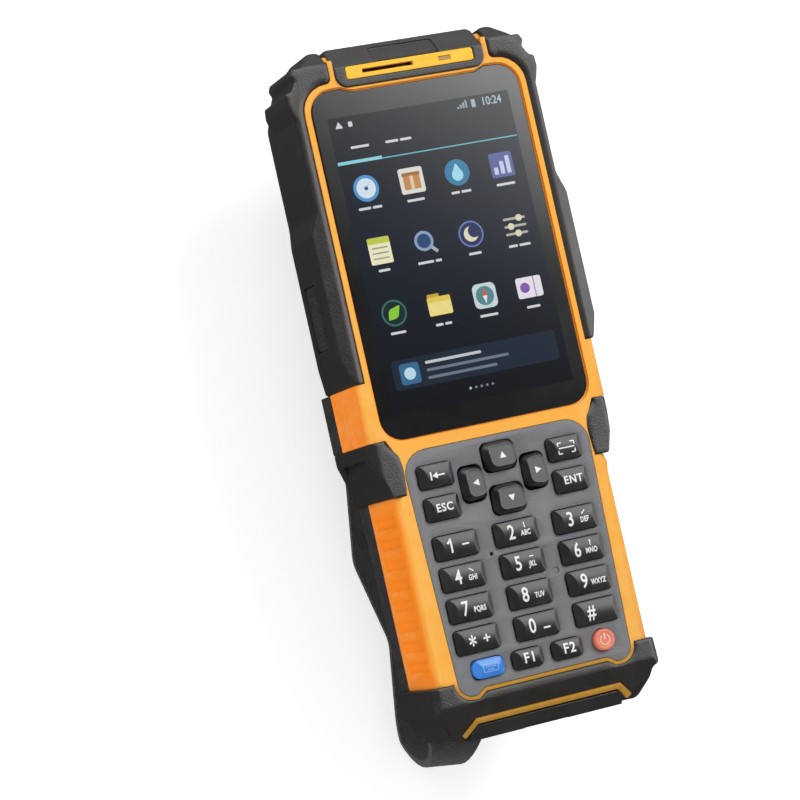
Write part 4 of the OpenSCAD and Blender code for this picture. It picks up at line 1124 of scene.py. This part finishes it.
@dataclass
class Keypad:
    """Keys with their printed legends.

    Facets are the slopes at a roof cap's left and right end, and facets_in
    says how far in they start. A lip and a dish have a width and a depth.
    Letters are a digit with its letters and its second sign. Tapers are the
    shares of an arrow key's half size at its top, bottom, left and right.
    """

    shop: Workshop
    base: float = -1.2
    flange: float = 0.35
    sharp_foot: float = 0.2
    short: float = 5.0
    corner: float = 0.9
    short_corner: float = 1.2
    input_corner: float = 1.9
    ridge: float = 6.5
    short_ridge: float = 4.2
    strips: int = 13
    facets: tuple[float, float] = (0.5, 0.75)
    facets_in: tuple[float, float] = (0.7, 0.5)
    ease: float = 0.18
    tilt: float = 0.12
    foot: float = 0.6
    lean: float = 0.25
    draft: float = 0.85
    tower_corner: float = 2.0
    tower_ease: float = 0.22
    dome_round: float = 0.6
    lip: tuple[float, float] = (0.35, 0.1)
    dish: tuple[float, float] = (0.5, 0.18)
    print_step: float = 0.3
    letters: dict[str, tuple[str, str, str]] = field(default_factory=lambda: {
        "key_1": ("1", "-", ""), "key_2": ("2", "ABC", "I"), "key_3": ("3", "DEF", "/"), "key_4": ("4", "GHI", "\\"),
        "key_5": ("5", "JKL", "-"), "key_6": ("6", "MNO", "?"), "key_7": ("7", "PQRS", ""), "key_8": ("8", "TUV", ""),
        "key_9": ("9", "WXYZ", ""), "key_star": ("*", "+", ""), "key_0": ("0", "_", ""), "key_hash": ("#", "", "")})
    words: dict[str, str] = field(default_factory=lambda: {
        "key_escape": "ESC", "key_enter": "ENT", "key_f1": "F1", "key_f2": "F2"})
    turns: dict[str, int] = field(default_factory=lambda: {
        "key_up_arrow": 90, "key_down_arrow": 270, "key_left_arrow": 180, "key_right_arrow": 0})
    tapers: dict[str, tuple[float, ...]] = field(default_factory=lambda: {
        "key_up_arrow": (1.0, 0.86, 1.0, 1.0), "key_down_arrow": (0.86, 1.0, 1.0, 1.0),
        "key_left_arrow": (1.0, 1.0, 1.0, 0.84), "key_right_arrow": (1.0, 1.0, 0.84, 1.0)})

    def _box(self, node: str) -> tuple[Vector, Vector]:
        """Returns the corners of a key's cap, inside its hidden flange.

        Args:
            node: the name of the CAD node.

        Returns:
            The lowest and the highest corner.
        """
        low, high = self.shop.box(node)
        rim = Vector((self.flange, self.flange, 0.0))
        return low + rim, high - rim

    def _spot(self, node: str) -> tuple[float, float, float, float]:
        """Returns the x and y of a cap's middle, and its half width and half height."""
        low, high = self._box(node)
        return (low.x + high.x) / 2, (low.y + high.y) / 2, (high.x - low.x) / 2, (high.y - low.y) / 2

    def _round(self, node: str) -> tuple[float, float]:
        """Returns a roof cap's corner radius and its crown's radius, which are others on the short keys.

        Args:
            node: the name of the CAD node.

        Returns:
            The corner's radius and the crown's radius.
        """
        low, high = self._box(node)
        tall = high.y - low.y > self.short
        corner = self.input_corner if node == "key_input" else self.corner if tall else self.short_corner
        return corner, self.ridge if tall else self.short_ridge

    def crown(self, node: str, y: float) -> float:
        """Returns the height of a roof cap's crown at one y."""
        across, ridge = y - self._spot(node)[1], self._round(node)[1]
        return self._box(node)[1].z - ridge + math.sqrt(ridge**2 - across**2)

    def roof_cap(self, node: str) -> BMesh:
        """Makes a cap with a barrel crown along it and a slanted facet at each end.

        Args:
            node: the name of the CAD node.

        Returns:
            The cap.
        """
        low, high = self._box(node)
        _, y, _, half = self._spot(node)
        corner, ridge = self._round(node)
        bm = block(rect(low.x, high.x, low.y, high.y, corner), self.base, high.z + 0.01, 5)
        middle = high.z - ridge
        turn = math.asin(half / ridge)
        for i in range(self.strips):
            angle = turn * (2 * (i + 0.5) / self.strips - 1)
            way = Vector((0.0, math.sin(angle), math.cos(angle)))
            cut_off(bm, (Vector((0.0, y, middle)) + way * ridge, way))
        side_z = middle + ridge * math.cos(turn)
        cut_off(bm, ((low.x + self.facets_in[0], 0, side_z), (-self.facets[0], 0, 1.0)),
                ((high.x - self.facets_in[1], 0, side_z), (self.facets[1], 0, 1.0)))
        return eased(bm, self.ease, 3, angle=20, keep_low=self.base + self.sharp_foot)

    def tower_cap(self, node: str) -> BMesh:
        """Makes a tall cap with drafted walls, a flat top and a fine raised lip round it.

        Args:
            node: the name of the CAD node.

        Returns:
            The cap.
        """
        x, y, w, h = self._spot(node)
        top, bottom, left, right = self.tapers[node]
        corners = [(x + w * wide, y + h * tall, self.tower_corner)
                   for wide, tall in ((-bottom, -left), (bottom, -right), (top, right), (-top, left))]
        bm = block(corners, self.base, self.foot, 7)
        grown = bmesh.ops.extrude_face_region(bm, geom=[top_face(bm)])
        ring = [v for v in grown["geom"] if isinstance(v, bmesh.types.BMVert)]
        bmesh.ops.translate(bm, vec=(self.lean, 0, self._box(node)[1].z - self.foot), verts=ring)
        bmesh.ops.scale(bm, vec=((w - self.draft) / w, (h - self.draft) / h, 1.0),
                        space=Matrix.Translation((-x - self.lean, -y, 0)), verts=ring)
        for v in ring:
            v.co.z -= self.tilt * (v.co.y - y)
        level = [f for f in bm.faces if all(abs(v.co.z - self.foot) < 1e-4 for v in f.verts)]
        bmesh.ops.delete(bm, geom=level, context="FACES_ONLY")
        bmesh.ops.recalc_face_normals(bm, faces=bm.faces)
        bmesh.ops.inset_individual(bm, faces=[top_face(bm)], thickness=self.lip[0], depth=-self.lip[1])
        return eased(bm, self.tower_ease, 3, angle=30, keep_low=self.base + self.sharp_foot)

    def dome_cap(self, node: str) -> BMesh:
        """Makes a round cap with a shallow dish inside a rounded rim.

        Args:
            node: the name of the CAD node.

        Returns:
            The cap.
        """
        x, y, radius, _ = self._spot(node)
        bm = bmesh.new()
        bmesh.ops.create_circle(bm, cap_ends=True, segments=48, radius=radius,
                                matrix=Matrix.Translation((x, y, self.base)))
        raised(bm, self._box(node)[1].z - self.base)
        rolled(bm, top_face(bm).edges, self.dome_round, 5)
        bmesh.ops.inset_individual(bm, faces=[top_face(bm)], thickness=self.dish[0], depth=-self.dish[1])
        return bm

    def laid(self, bm: BMesh, node: str, cap: Cap) -> BMesh:
        """Lays a flat print on a key's top and returns it.

        Args:
            bm: the flat print.
            node: the name of the CAD node.
            cap: the kind of cap that the print lies on.

        Returns:
            The print.
        """
        if cap is Cap.ROOF:
            sliced(bm, min(v.co.y for v in bm.verts), max(v.co.y for v in bm.verts), self.print_step)
            for v in bm.verts:
                v.co.z += self.crown(node, v.co.y)
            return bm
        level = self._box(node)[1].z - (self.lip[1] if cap is Cap.TOWER else self.dish[1])
        slope = self.tilt if cap is Cap.TOWER else 0.0
        y = self._spot(node)[1]
        for v in bm.verts:
            v.co.z += level - slope * (v.co.y - y)
        return bm

    def dial(self, node: str, x: float, y: float) -> BMesh:
        """Prints a digit with its letters and its small second sign.

        Args:
            node: the name of the CAD node.
            x: place of the print's middle, across.
            y: place of the print's middle, along.

        Returns:
            The print.
        """
        digit, small, mark = self.letters[node]
        size, drop = (6.0, 1.2) if digit == "*" else (5.0, 0.0)
        bm = lettering(digit, x - 1.7, y - drop, size, 0.74, 0.07)
        if digit == "1":
            merged(bm, stroke(x - 2.6, y + 0.85, x - 1.7, y + 1.55, 0.5))
        if small in ("-", "_", "+"):
            level = y - (0.9 if small == "_" else 0.0)
            merged(bm, stroke(x + 1.1, level, x + 2.9, level, 0.42))
            if small == "+":
                merged(bm, stroke(x + 2.0, level - 0.9, x + 2.0, level + 0.9, 0.42))
        elif small:
            merged(bm, lettering(small, x + 2.0, y - 0.55, 1.85, 0.68, 0.06, spread=1.1))
        if mark in ("/", "\\"):
            slant = 0.5 if mark == "/" else -0.5
            merged(bm, stroke(x + 2.0 - slant, y + 0.9, x + 2.0 + slant, y + 1.75, 0.26))
        elif mark == "-":
            merged(bm, stroke(x + 1.5, y + 1.3, x + 2.6, y + 1.3, 0.26))
        elif mark:
            merged(bm, lettering(mark, x + 2.0, y + 1.3, 1.9, 0.9, 0.05))
        return bm

    def word(self, node: str, x: float, y: float) -> BMesh:
        """Prints a short word."""
        size = 3.5 if len(self.words[node]) == 2 else 2.75
        return lettering(self.words[node], x + 0.15, y, size, 0.92, 0.06, spread=1.12)

    def arrow(self, node: str, x: float, y: float) -> BMesh:
        """Prints an arrow head that points its key's way.

        Args:
            node: the name of the CAD node.
            x: place of the print's middle, across.
            y: place of the print's middle, along.

        Returns:
            The print.
        """
        bm = inked([(-0.7, -0.85, 0), (0.85, 0, 0), (-0.7, 0.85, 0)])
        turn = Matrix.Rotation(math.radians(self.turns[node]), 4, "Z")
        bmesh.ops.transform(bm, matrix=Matrix.Translation((x + 0.25, y, 0)) @ turn, verts=bm.verts)
        return bm

    def back_sign(self, x: float, y: float) -> BMesh:
        """Prints an arrow that runs to a bar."""
        head = inked([(x - 1.3, y, 0), (x + 0.1, y - 0.8, 0), (x + 0.1, y + 0.8, 0)])
        return merged(stroke(x - 1.6, y - 1.0, x - 1.6, y + 1.0, 0.38), stroke(x - 0.6, y, x + 2.0, y, 0.38), head)

    def scan_sign(self, x: float, y: float) -> BMesh:
        """Prints a line between four corner marks.

        Args:
            x: place of the print's middle, across.
            y: place of the print's middle, along.

        Returns:
            The print.
        """
        bm = stroke(x - 1.9, y, x + 2.3, y, 0.3)
        for sx in (-1, 1):
            for sy in (-1, 1):
                cx, cy = x + 0.2 + sx * 2.2, y + sy * 1.35
                merged(bm, stroke(cx, cy, cx - sx * 1.0, cy, 0.3), stroke(cx, cy, cx, cy - sy * 0.8, 0.3))
        return bm

    def input_sign(self, x: float, y: float) -> BMesh:
        """Prints a small keyboard in a frame.

        Args:
            x: place of the print's middle, across.
            y: place of the print's middle, along.

        Returns:
            The print.
        """
        left, right, low, high = x + 0.2 - 1.9, x + 0.2 + 1.9, y - 0.95, y + 0.95
        bm = stroke(left, low, right, low, 0.2)
        merged(bm, stroke(left, high, right, high, 0.2), stroke(left, low, left, high, 0.2),
               stroke(right, low, right, high, 0.2))
        for i in range(5):
            for j in range(2):
                at, up = x - 1.1 + i * 0.58, y + 0.08 + j * 0.38
                merged(bm, inked(rect(at, at + 0.3, up, up + 0.22)))
        return merged(bm, inked(rect(x - 0.7, x + 1.1, y - 0.55, y - 0.33)))

    def power_sign(self, x: float, y: float) -> BMesh:
        """Prints an open ring with a bar in its gap.

        Args:
            x: place of the print's middle, across.
            y: place of the print's middle, along.

        Returns:
            The print.
        """
        bm = stroke(x, y + 0.1, x, y + 1.6, 0.36)
        for i in range(15):
            a, b = (math.radians(122 + (296 * k) / 15) for k in (i, i + 1))
            merged(bm, stroke(x + 1.25 * math.cos(a), y + 1.25 * math.sin(a), x + 1.25 * math.cos(b),
                              y + 1.25 * math.sin(b), 0.32))
        return bm

    def legend(self, node: str) -> BMesh:
        """Makes a key's flat print.

        Args:
            node: the name of the CAD node.

        Returns:
            The print.
        """
        x, y, _, _ = self._spot(node)
        for names, draw in ((self.letters, self.dial), (self.words, self.word), (self.turns, self.arrow)):
            if node in names:
                return draw(node, x, y)
        return {"key_back": self.back_sign, "key_scan": self.scan_sign, "key_input": self.input_sign,
                "key_power": self.power_sign}[node](x, y)

    def build(self) -> None:
        """Makes every key and its print."""
        finishes = {"key_blue": KEY_BLUE, "key_salmon": KEY_SALMON}
        inks = {"key_power": PALE_INK, "key_input": BLUE_INK}
        make = {Cap.ROOF: self.roof_cap, Cap.TOWER: self.tower_cap, Cap.DOME: self.dome_cap}
        for node in sorted(n for n in frame["nodes"] if n.startswith("key_")):
            cap = Cap.TOWER if "arrow" in node else Cap.DOME if node == "key_power" else Cap.ROOF
            finish = finishes.get(self.shop.slots[node], KEY)
            self.shop.piece(f"{node}_cap", make[cap](node), finish, node, [node], angle=32)
            print_bm = self.laid(self.legend(node), node, cap)
            self.shop.piece(f"{node}_print", print_bm, inks.get(node, LEGEND), node, tie=False)


@dataclass(frozen=True)
class Mark:
    """One flat shape of the picture, about a point.

    It is a disc (x, y, radius), a tile (x, y, width, height, corner radius)
    or an outline of corners. The layer says how far up it lies.
    """

    colour: str
    layer: int
    disc: Corner | None = None
    tile: tuple[float, ...] | None = None
    outline: tuple[Corner, ...] = ()


@dataclass(frozen=True)
class Sign:
    """One small picture with the bars of its label."""

    label: tuple[float, ...]
    marks: tuple[Mark, ...]


SIGNS = {
    "gauge": Sign((3.2, 2.4), (
        Mark("#4F9BD8", 1, disc=(0, 0, 3.3)), Mark("#DCEBF6", 2, disc=(0, 0, 2.5)),
        Mark("#2B5E92", 4, disc=(0, 0, 0.5)),
        Mark("#D8563E", 3, outline=((-0.2, -0.1, 0), (0.2, 0.1, 0), (1.5, 1.7, 0))))),
    "parcel": Sign((4.6,), (
        Mark("#E7E3DC", 1, tile=(0, 0, 6.4, 6.4, 0.6)), Mark("#C98E52", 2, tile=(0, -0.4, 4.4, 3.6, 0.3)),
        Mark("#A86F38", 3, tile=(0, 1.6, 4.8, 0.9, 0.2)), Mark("#EBD2A8", 3, tile=(0, -0.4, 0.9, 3.6, 0.0)))),
    "drop": Sign((2.2, 2.6), (
        Mark("#2F7FA8", 1, disc=(0, 0, 3.3)), Mark("#A8E2F2", 2, disc=(0, -0.6, 1.5)),
        Mark("#A8E2F2", 2, outline=((-1.35, 0.0, 0), (1.35, 0.0, 0), (0, 2.4, 0.2))))),
    "chart": Sign((5.0,), (
        Mark("#54639C", 1, tile=(0, 0, 6.2, 6.2, 0.5)),
        *(Mark("#C9D2F0", 2, tile=(x, tall / 2 - 2.3, 1.1, tall, 0.15))
          for x, tall in ((-1.7, 1.8), (0, 3.2), (1.7, 4.4))))),
    "note": Sign((3.0,), (
        Mark("#F4F0C8", 1, tile=(0, 0, 5.8, 6.6, 0.4)), Mark("#C8D24A", 2, tile=(0, 2.5, 5.8, 1.5, 0.3)),
        *(Mark("#9AA08A", 2, tile=(0, y, 4.2, 0.35, 0.1)) for y in (0.7, -0.6, -1.9)))),
    "magnifier": Sign((4.2, 1.6), (
        Mark("#A9B4C6", 1, outline=((0.6, -1.2, 0), (1.2, -0.6, 0), (3.0, -2.4, 0.2), (2.4, -3.0, 0.2))),
        Mark("#8FA6C8", 2, disc=(-0.4, 0.4, 2.5)), Mark("#274A78", 3, disc=(-0.4, 0.4, 1.8)))),
    "moon": Sign((3.4,), (
        Mark("#6E7FC0", 1, disc=(0, 0, 3.3)), Mark("#27305E", 2, disc=(0, 0, 2.9)),
        Mark("#E6E2C4", 3, disc=(0, 0, 1.9)), Mark("#27305E", 4, disc=(0.9, 0.6, 1.6)))),
    "sliders": Sign((2.4, 3.0), tuple(mark for x, y in ((1.3, 1.9), (-1.2, 0.0), (0.4, -1.9)) for mark in (
        Mark("#B9B6A8", 1, tile=(0, y, 6.0, 0.6, 0.3)), Mark("#E4DDBE", 2, disc=(x, y, 0.85))))),
    "leaf": Sign((4.0,), (
        Mark("#3B6A66", 1, disc=(0, 0, 3.3)), Mark("#12282A", 2, disc=(0, 0, 2.8)),
        Mark("#8CD13C", 3, outline=((-1.7, -1.7, 0.3), (0.9, -1.3, 1.2), (1.8, 1.8, 0.2), (-1.3, 0.9, 1.2))))),
    "folder": Sign((2.0, 1.8), (
        Mark("#C9A93A", 1, tile=(-1.3, 2.0, 3.2, 1.6, 0.3)), Mark("#EBD05A", 2, tile=(0, -0.3, 6.2, 4.6, 0.4)),
        Mark("#F6E48C", 3, tile=(0, -0.9, 6.2, 3.2, 0.4)))),
    "compass": Sign((4.8,), (
        Mark("#CFE0E2", 1, tile=(0, 0, 6.2, 6.2, 1.4)), Mark("#5C8C94", 2, disc=(0, 0, 2.4)),
        Mark("#E05A48", 3, outline=((-0.6, 0, 0), (0.6, 0, 0), (0, 2.0, 0))),
        Mark("#F2F2EE", 3, outline=((0.6, 0, 0), (-0.6, 0, 0), (0, -2.0, 0))))),
    "ticket": Sign((3.6,), (
        Mark("#EFE9F2", 1, tile=(0, 0, 6.8, 5.2, 0.6)), Mark("#A68CB8", 2, tile=(1.4, 0, 0.3, 5.2, 0.0)),
        Mark("#8A5CB0", 2, disc=(-1.2, 0, 1.3))))}
STATUS = (
    Mark("#D5DBE0", 2, outline=((-22.6, 33.7, 0.1), (-20.6, 33.7, 0.1), (-21.6, 35.4, 0.1))),
    Mark("#D5DBE0", 2, tile=(-18.6, 34.4, 1.1, 1.3, 0.3)),
    *(Mark("#8FA3AE", 2, tile=(9.45 + 0.75 * i, 33.7 + 0.24 * i, 0.5, 0.48 * i, 0.0)) for i in range(1, 5)),
    Mark("#9FB4BE", 2, tile=(14.4, 34.5, 1.1, 2.0, 0.15)))
CARD = (
    Mark("#8FD6E8", 3, tile=(-18.2, 25.1, 11.6, 0.8, 0.0)), Mark("#6FB6CC", 2, tile=(0.0, 24.85, 48.0, 0.3, 0.0)),
    Mark("#1B2738", 1, tile=(0.0, -28.2, 44.0, 7.4, 1.0)), Mark("#3A6E96", 2, tile=(-17.6, -28.2, 5.2, 5.2, 0.8)),
    Mark("#BFE3F2", 3, disc=(-17.6, -28.2, 1.5)), Mark("#C9CED2", 2, tile=(-5.7, -26.3, 15.0, 0.7, 0.3)),
    Mark("#6E7C8A", 2, tile=(-2.2, -28.2, 22.0, 0.7, 0.3)), Mark("#6E7C8A", 2, tile=(-3.95, -30.1, 18.5, 0.7, 0.3)),
    *(Mark("#8793A0" if i else "#CFE0EA", 2, disc=(-3.0 + 1.5 * i, -34.6, 0.3)) for i in range(5)))


@dataclass
class Screen:
    """Cover glass with a lit picture of a plain generic desktop."""

    shop: Workshop
    left: float = -24.2
    right: float = 24.2
    low: float = -37.6
    high: float = 36.4
    rise: float = 0.012
    band: float = 4.0
    columns: tuple[float, ...] = (-18.2, -6.1, 6.1, 18.2)
    rows: tuple[float, ...] = (18.2, 2.6, -13.0)
    label_drop: float = 4.9
    label_gap: float = 0.5
    bm: BMesh = field(default_factory=bmesh.new)

    def tinted(self, part: BMesh, tint: Callable[[Vector], Sequence[float]]) -> None:
        """Adds a shape to the picture, coloured by a rule on its corners' places.

        Args:
            part: the shape.
            tint: gives the colour for a corner's place.
        """
        layer = part.loops.layers.float_color.new("tint")
        for face in part.faces:
            for loop in face.loops:
                loop[layer] = (*tint(loop.vert.co), 1.0)
        merged(self.bm, part)

    def draw(self, marks: Sequence[Mark], x: float = 0.0, y: float = 0.0) -> None:
        """Adds flat shapes about a point.

        Args:
            marks: the shapes.
            x: the point's place across the screen.
            y: the point's place up the screen.
        """
        for mark in marks:
            height = self.rise * mark.layer
            if mark.disc:
                part = bmesh.new()
                dx, dy, radius = mark.disc
                bmesh.ops.create_circle(part, cap_ends=True, segments=36, radius=radius,
                                        matrix=Matrix.Translation((x + dx, y + dy, -SUNK)))
                raised(part, SUNK + height)
            elif mark.tile:
                dx, dy, w, h, radius = mark.tile
                at, up = x + dx, y + dy
                part = block(rect(at - w / 2, at + w / 2, up - h / 2, up + h / 2, radius), -SUNK, height, 5)
            else:
                part = block([(x + dx, y + dy, radius) for dx, dy, radius in mark.outline], -SUNK, height, 5)
            tint = linear(mark.colour)
            self.tinted(part, lambda place: tint)

    def label(self, x: float, y: float, parts: Sequence[float]) -> None:
        """Adds a row of short pale bars, as blocked-out text.

        Args:
            x: place of the row's middle, across.
            y: place of the row's middle, along.
            parts: how long each bar is.
        """
        at = x - (sum(parts) + self.label_gap * (len(parts) - 1)) / 2
        for part in parts:
            self.draw((Mark("#D9DCDF", 2, tile=(at + part / 2, y, part, 0.62, 0.2)),))
            at += part + self.label_gap

    def icons(self) -> None:
        """Draws the rows of small signs."""
        for i, each in enumerate(SIGNS.values()):
            x, y = self.columns[i % 4], self.rows[i // 4]
            self.draw(each.marks, x, y)
            self.label(x, y - self.label_drop, each.label)

    def bars(self) -> None:
        """Draws the status line, the heading line and the wide card."""
        self.draw(STATUS)
        clock = lettering("10:24", 19.3, 34.5, 2.9, 0.86, 0.03)
        bmesh.ops.translate(clock, vec=(0, 0, -0.02), verts=clock.verts)
        pale = linear("#A9C3CF")
        self.tinted(clock, lambda place: pale)
        self.label(-17.4, 28.6, (4.8,))
        self.label(-7.2, 28.6, (3.4, 3.0))
        self.draw(CARD)

    def field_back(self) -> None:
        """Lays the dark field behind the signs, bluest a little above its middle."""
        part = raised(rounded_face(rect(self.left, self.right, self.low, self.high), -SUNK), SUNK + self.rise * 0.5)
        sliced(part, self.low, self.high, self.band)
        deep, blue = Vector(linear("#04060A")), Vector(linear("#101A28"))

        def tint(place: Vector) -> Vector:
            """Returns the field's colour at one place."""
            share = (place.y - self.low) / (self.high - self.low)
            return deep.lerp(blue, 1.0 - min(1.0, abs(share - 0.55) / 0.6))

        self.tinted(part, tint)

    def build(self) -> None:
        """Makes the glass and its picture."""
        self.bm.loops.layers.float_color.new("tint")
        self.field_back()
        self.bars()
        self.icons()
        self.shop.piece("screen_picture", self.bm, PICTURE, "lcd_module", angle=30)
        glass = eased(self.shop.copy_of("touch_glass"), 0.15, 2)
        self.shop.piece("cover_glass", glass, GLASS, "touch_glass", ["touch_glass"])


@dataclass
class HandStrap:
    """Woven strap behind the case, fixed at both ends."""

    shop: Workshop
    bend_y: float = -112.9
    bend_z: float = -46.1
    bend_radius: float = 13.0

    def build(self) -> None:
        """Makes the strap from its CAD run, with a lay for its weave that follows the lower bend."""
        bm = eased(self.shop.copy_of("hand_strap"), 0.5, 3, angle=40)
        lay = bm.loops.layers.uv.new("lay")
        for face in bm.faces:
            for loop in face.loops:
                x, y, z = loop.vert.co
                if y <= self.bend_y:
                    y = self.bend_y - self.bend_radius * math.atan2(self.bend_y - y, self.bend_z - z)
                loop[lay].uv = (x, y)
        self.shop.piece("hand_strap_web", bm, WEBBING, "hand_strap", ["hand_strap"], angle=50)


@dataclass(frozen=True)
class Floor(Look):
    """A pale sheet that looks white from the camera and darker in gloss."""

    name: str = "floor"
    glow: float = 0.5

    def surface(self, g: Graph) -> bpy.types.Node:
        """Builds the floor's nodes and returns its shader.

        Args:
            g: the material's nodes.

        Returns:
            The shader's node.
        """
        path = g.add("ShaderNodeLightPath")
        seen = g.maths("ADD", path.outputs["Is Camera Ray"], path.outputs["Is Transmission Ray"], clamp=True)
        cloud = g.add("ShaderNodeTexNoise", {"Vector": g.place(), "Scale": 3.0, "Detail": 2.0}).outputs[0]
        base = g.mix(cloud, linear("#EDEDEC"), linear("#F4F4F3"))
        base = g.mix(path.outputs["Is Glossy Ray"], base, linear("#6A6A6A"))
        return g.add("ShaderNodeBsdfPrincipled", {
            "Base Color": base, "Roughness": 0.9, "Emission Color": (1.0, 1.0, 1.0),
            "Emission Strength": g.maths("MULTIPLY", seen, self.glow)})


@dataclass(frozen=True)
class Lamp:
    """A square soft light, seen from the object in a direction, which looks back at it.

    The level is its light on a sheet that faces it, where 1 shows a white
    sheet as white.
    """

    name: str
    direction: Corner
    distance: float
    size: float
    level: float


@dataclass
class Studio:
    """Camera, floor, lamps and surround."""

    shop: Workshop
    lens: float = 128.706
    turn: Corner = (-0.0892670312, 0.350615443, 0.209305794)
    shift: Corner = (12.4486836, 37.1953327, -701.651478)
    aim: Corner = (0.0, 0.01, 0.05)
    lamps: tuple[Lamp, ...] = (
        Lamp("key_box", (0.46, 0.44, 0.77), 1.5, 0.66, 0.52), Lamp("top_fill", (-0.35, 0.25, 0.9), 1.4, 0.8, 0.12),
        Lamp("left_fill", (-0.9, -0.2, 0.38), 1.3, 0.7, 0.36))
    bright_way: Corner = (0.547, 0.796, -0.315)
    bright_edge: tuple[float, float] = (-0.03, 0.06)
    bright_power: float = 2.5
    bright_fade: tuple[float, float] = (0.4, 0.75)
    soft_level: float = 0.4
    gloss_floor: float = 0.12
    gloss_near: float = 3.9
    gloss_far: float = 1.5

    def camera(self) -> None:
        """Places the camera on the object's front, a little to its left."""
        axis = Vector(self.turn)
        rotation = Matrix.Rotation(axis.length, 3, axis.normalized()).transposed()
        spot = self.shop.place @ -(rotation @ Vector(self.shift))
        data = bpy.data.cameras.new("camera")
        data.sensor_width = 36.0
        data.lens = self.lens
        data.clip_start, data.clip_end = 0.05, 20.0
        obj = bpy.data.objects.new("camera", data)
        obj.matrix_world = Matrix.Translation(spot) @ rotation.to_4x4()
        bpy.context.scene.collection.objects.link(obj)
        bpy.context.scene.camera = obj

    def floor(self) -> None:
        """Lays a pale floor that keeps the object's shadow."""
        bm = bmesh.new()
        bmesh.ops.create_grid(bm, x_segments=1, y_segments=1, size=6.0)
        obj = placed(bm, "floor")
        obj.location.z = -0.0002
        obj.data.materials.append(Floor().material())

    def lamp(self, lamp: Lamp) -> None:
        """Hangs one lamp, which doesn't show in gloss.

        Args:
            lamp: the lamp's place, size and strength.
        """
        data = bpy.data.lights.new(lamp.name, "AREA")
        data.shape = "SQUARE"
        data.size = lamp.size
        data.energy = lamp.level * math.pi**2 * lamp.distance**2
        obj = bpy.data.objects.new(lamp.name, data)
        way = Vector(lamp.direction).normalized()
        turn = way.to_track_quat("Z", "Y").to_matrix().to_4x4()
        obj.matrix_world = Matrix.Translation(Vector(self.aim) + way * lamp.distance) @ turn
        obj.visible_glossy = False
        bpy.context.scene.collection.objects.link(obj)

    def world(self) -> None:
        """Surrounds the object with soft light, brighter to the upper right, on a white background."""
        world = bpy.data.worlds.new("world")
        bpy.context.scene.world = world
        world.use_nodes = True
        world.node_tree.nodes.clear()
        g = Graph(world.node_tree)
        path = g.add("ShaderNodeLightPath")
        way = g.add("ShaderNodeTexCoord").outputs["Generated"]
        toward = g.add("ShaderNodeVectorMath", {0: way, 1: self.bright_way}, operation="DOT_PRODUCT").outputs["Value"]
        rise = g.maths("POWER", g.span(toward, *self.bright_edge), self.bright_power)
        bright = g.span(toward, *self.bright_fade, self.gloss_near, self.gloss_far)
        gloss = g.maths("ADD", self.gloss_floor, g.maths("MULTIPLY", rise, bright))
        shiny = g.maths("ADD", path.outputs["Is Glossy Ray"], path.outputs["Is Transmission Ray"], clamp=True)
        matt = g.maths("MULTIPLY", g.maths("SUBTRACT", 1.0, shiny), self.soft_level)
        soft = g.maths("ADD", g.maths("MULTIPLY", shiny, gloss), matt)
        camera = path.outputs["Is Camera Ray"]
        level = g.maths("ADD", camera, g.maths("MULTIPLY", g.maths("SUBTRACT", 1.0, camera), soft))
        back = g.add("ShaderNodeBackground", {"Color": (1.0, 1.0, 1.0), "Strength": level})
        g.add("ShaderNodeOutputWorld", {0: back.outputs[0]})

    def build(self) -> None:
        """Sets up the whole studio."""
        self.camera()
        self.floor()
        self.world()
        for lamp in self.lamps:
            self.lamp(lamp)
        bpy.context.scene.view_settings.view_transform = "Standard"


def main() -> None:
    """Builds the looks in order."""
    logging.basicConfig(level=logging.INFO, format="%(name)s %(message)s", stream=sys.stdout)
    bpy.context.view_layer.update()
    shop = Workshop()
    shop.dress(*frame["nodes"])
    Studio(shop).build()
    for part in (Housings(shop), Armour(shop), Keypad(shop), Screen(shop), HandStrap(shop)):
        LOG.info("building %s", type(part).__name__)
        part.build()
    write_size()


if __name__ == "__main__":
    main()
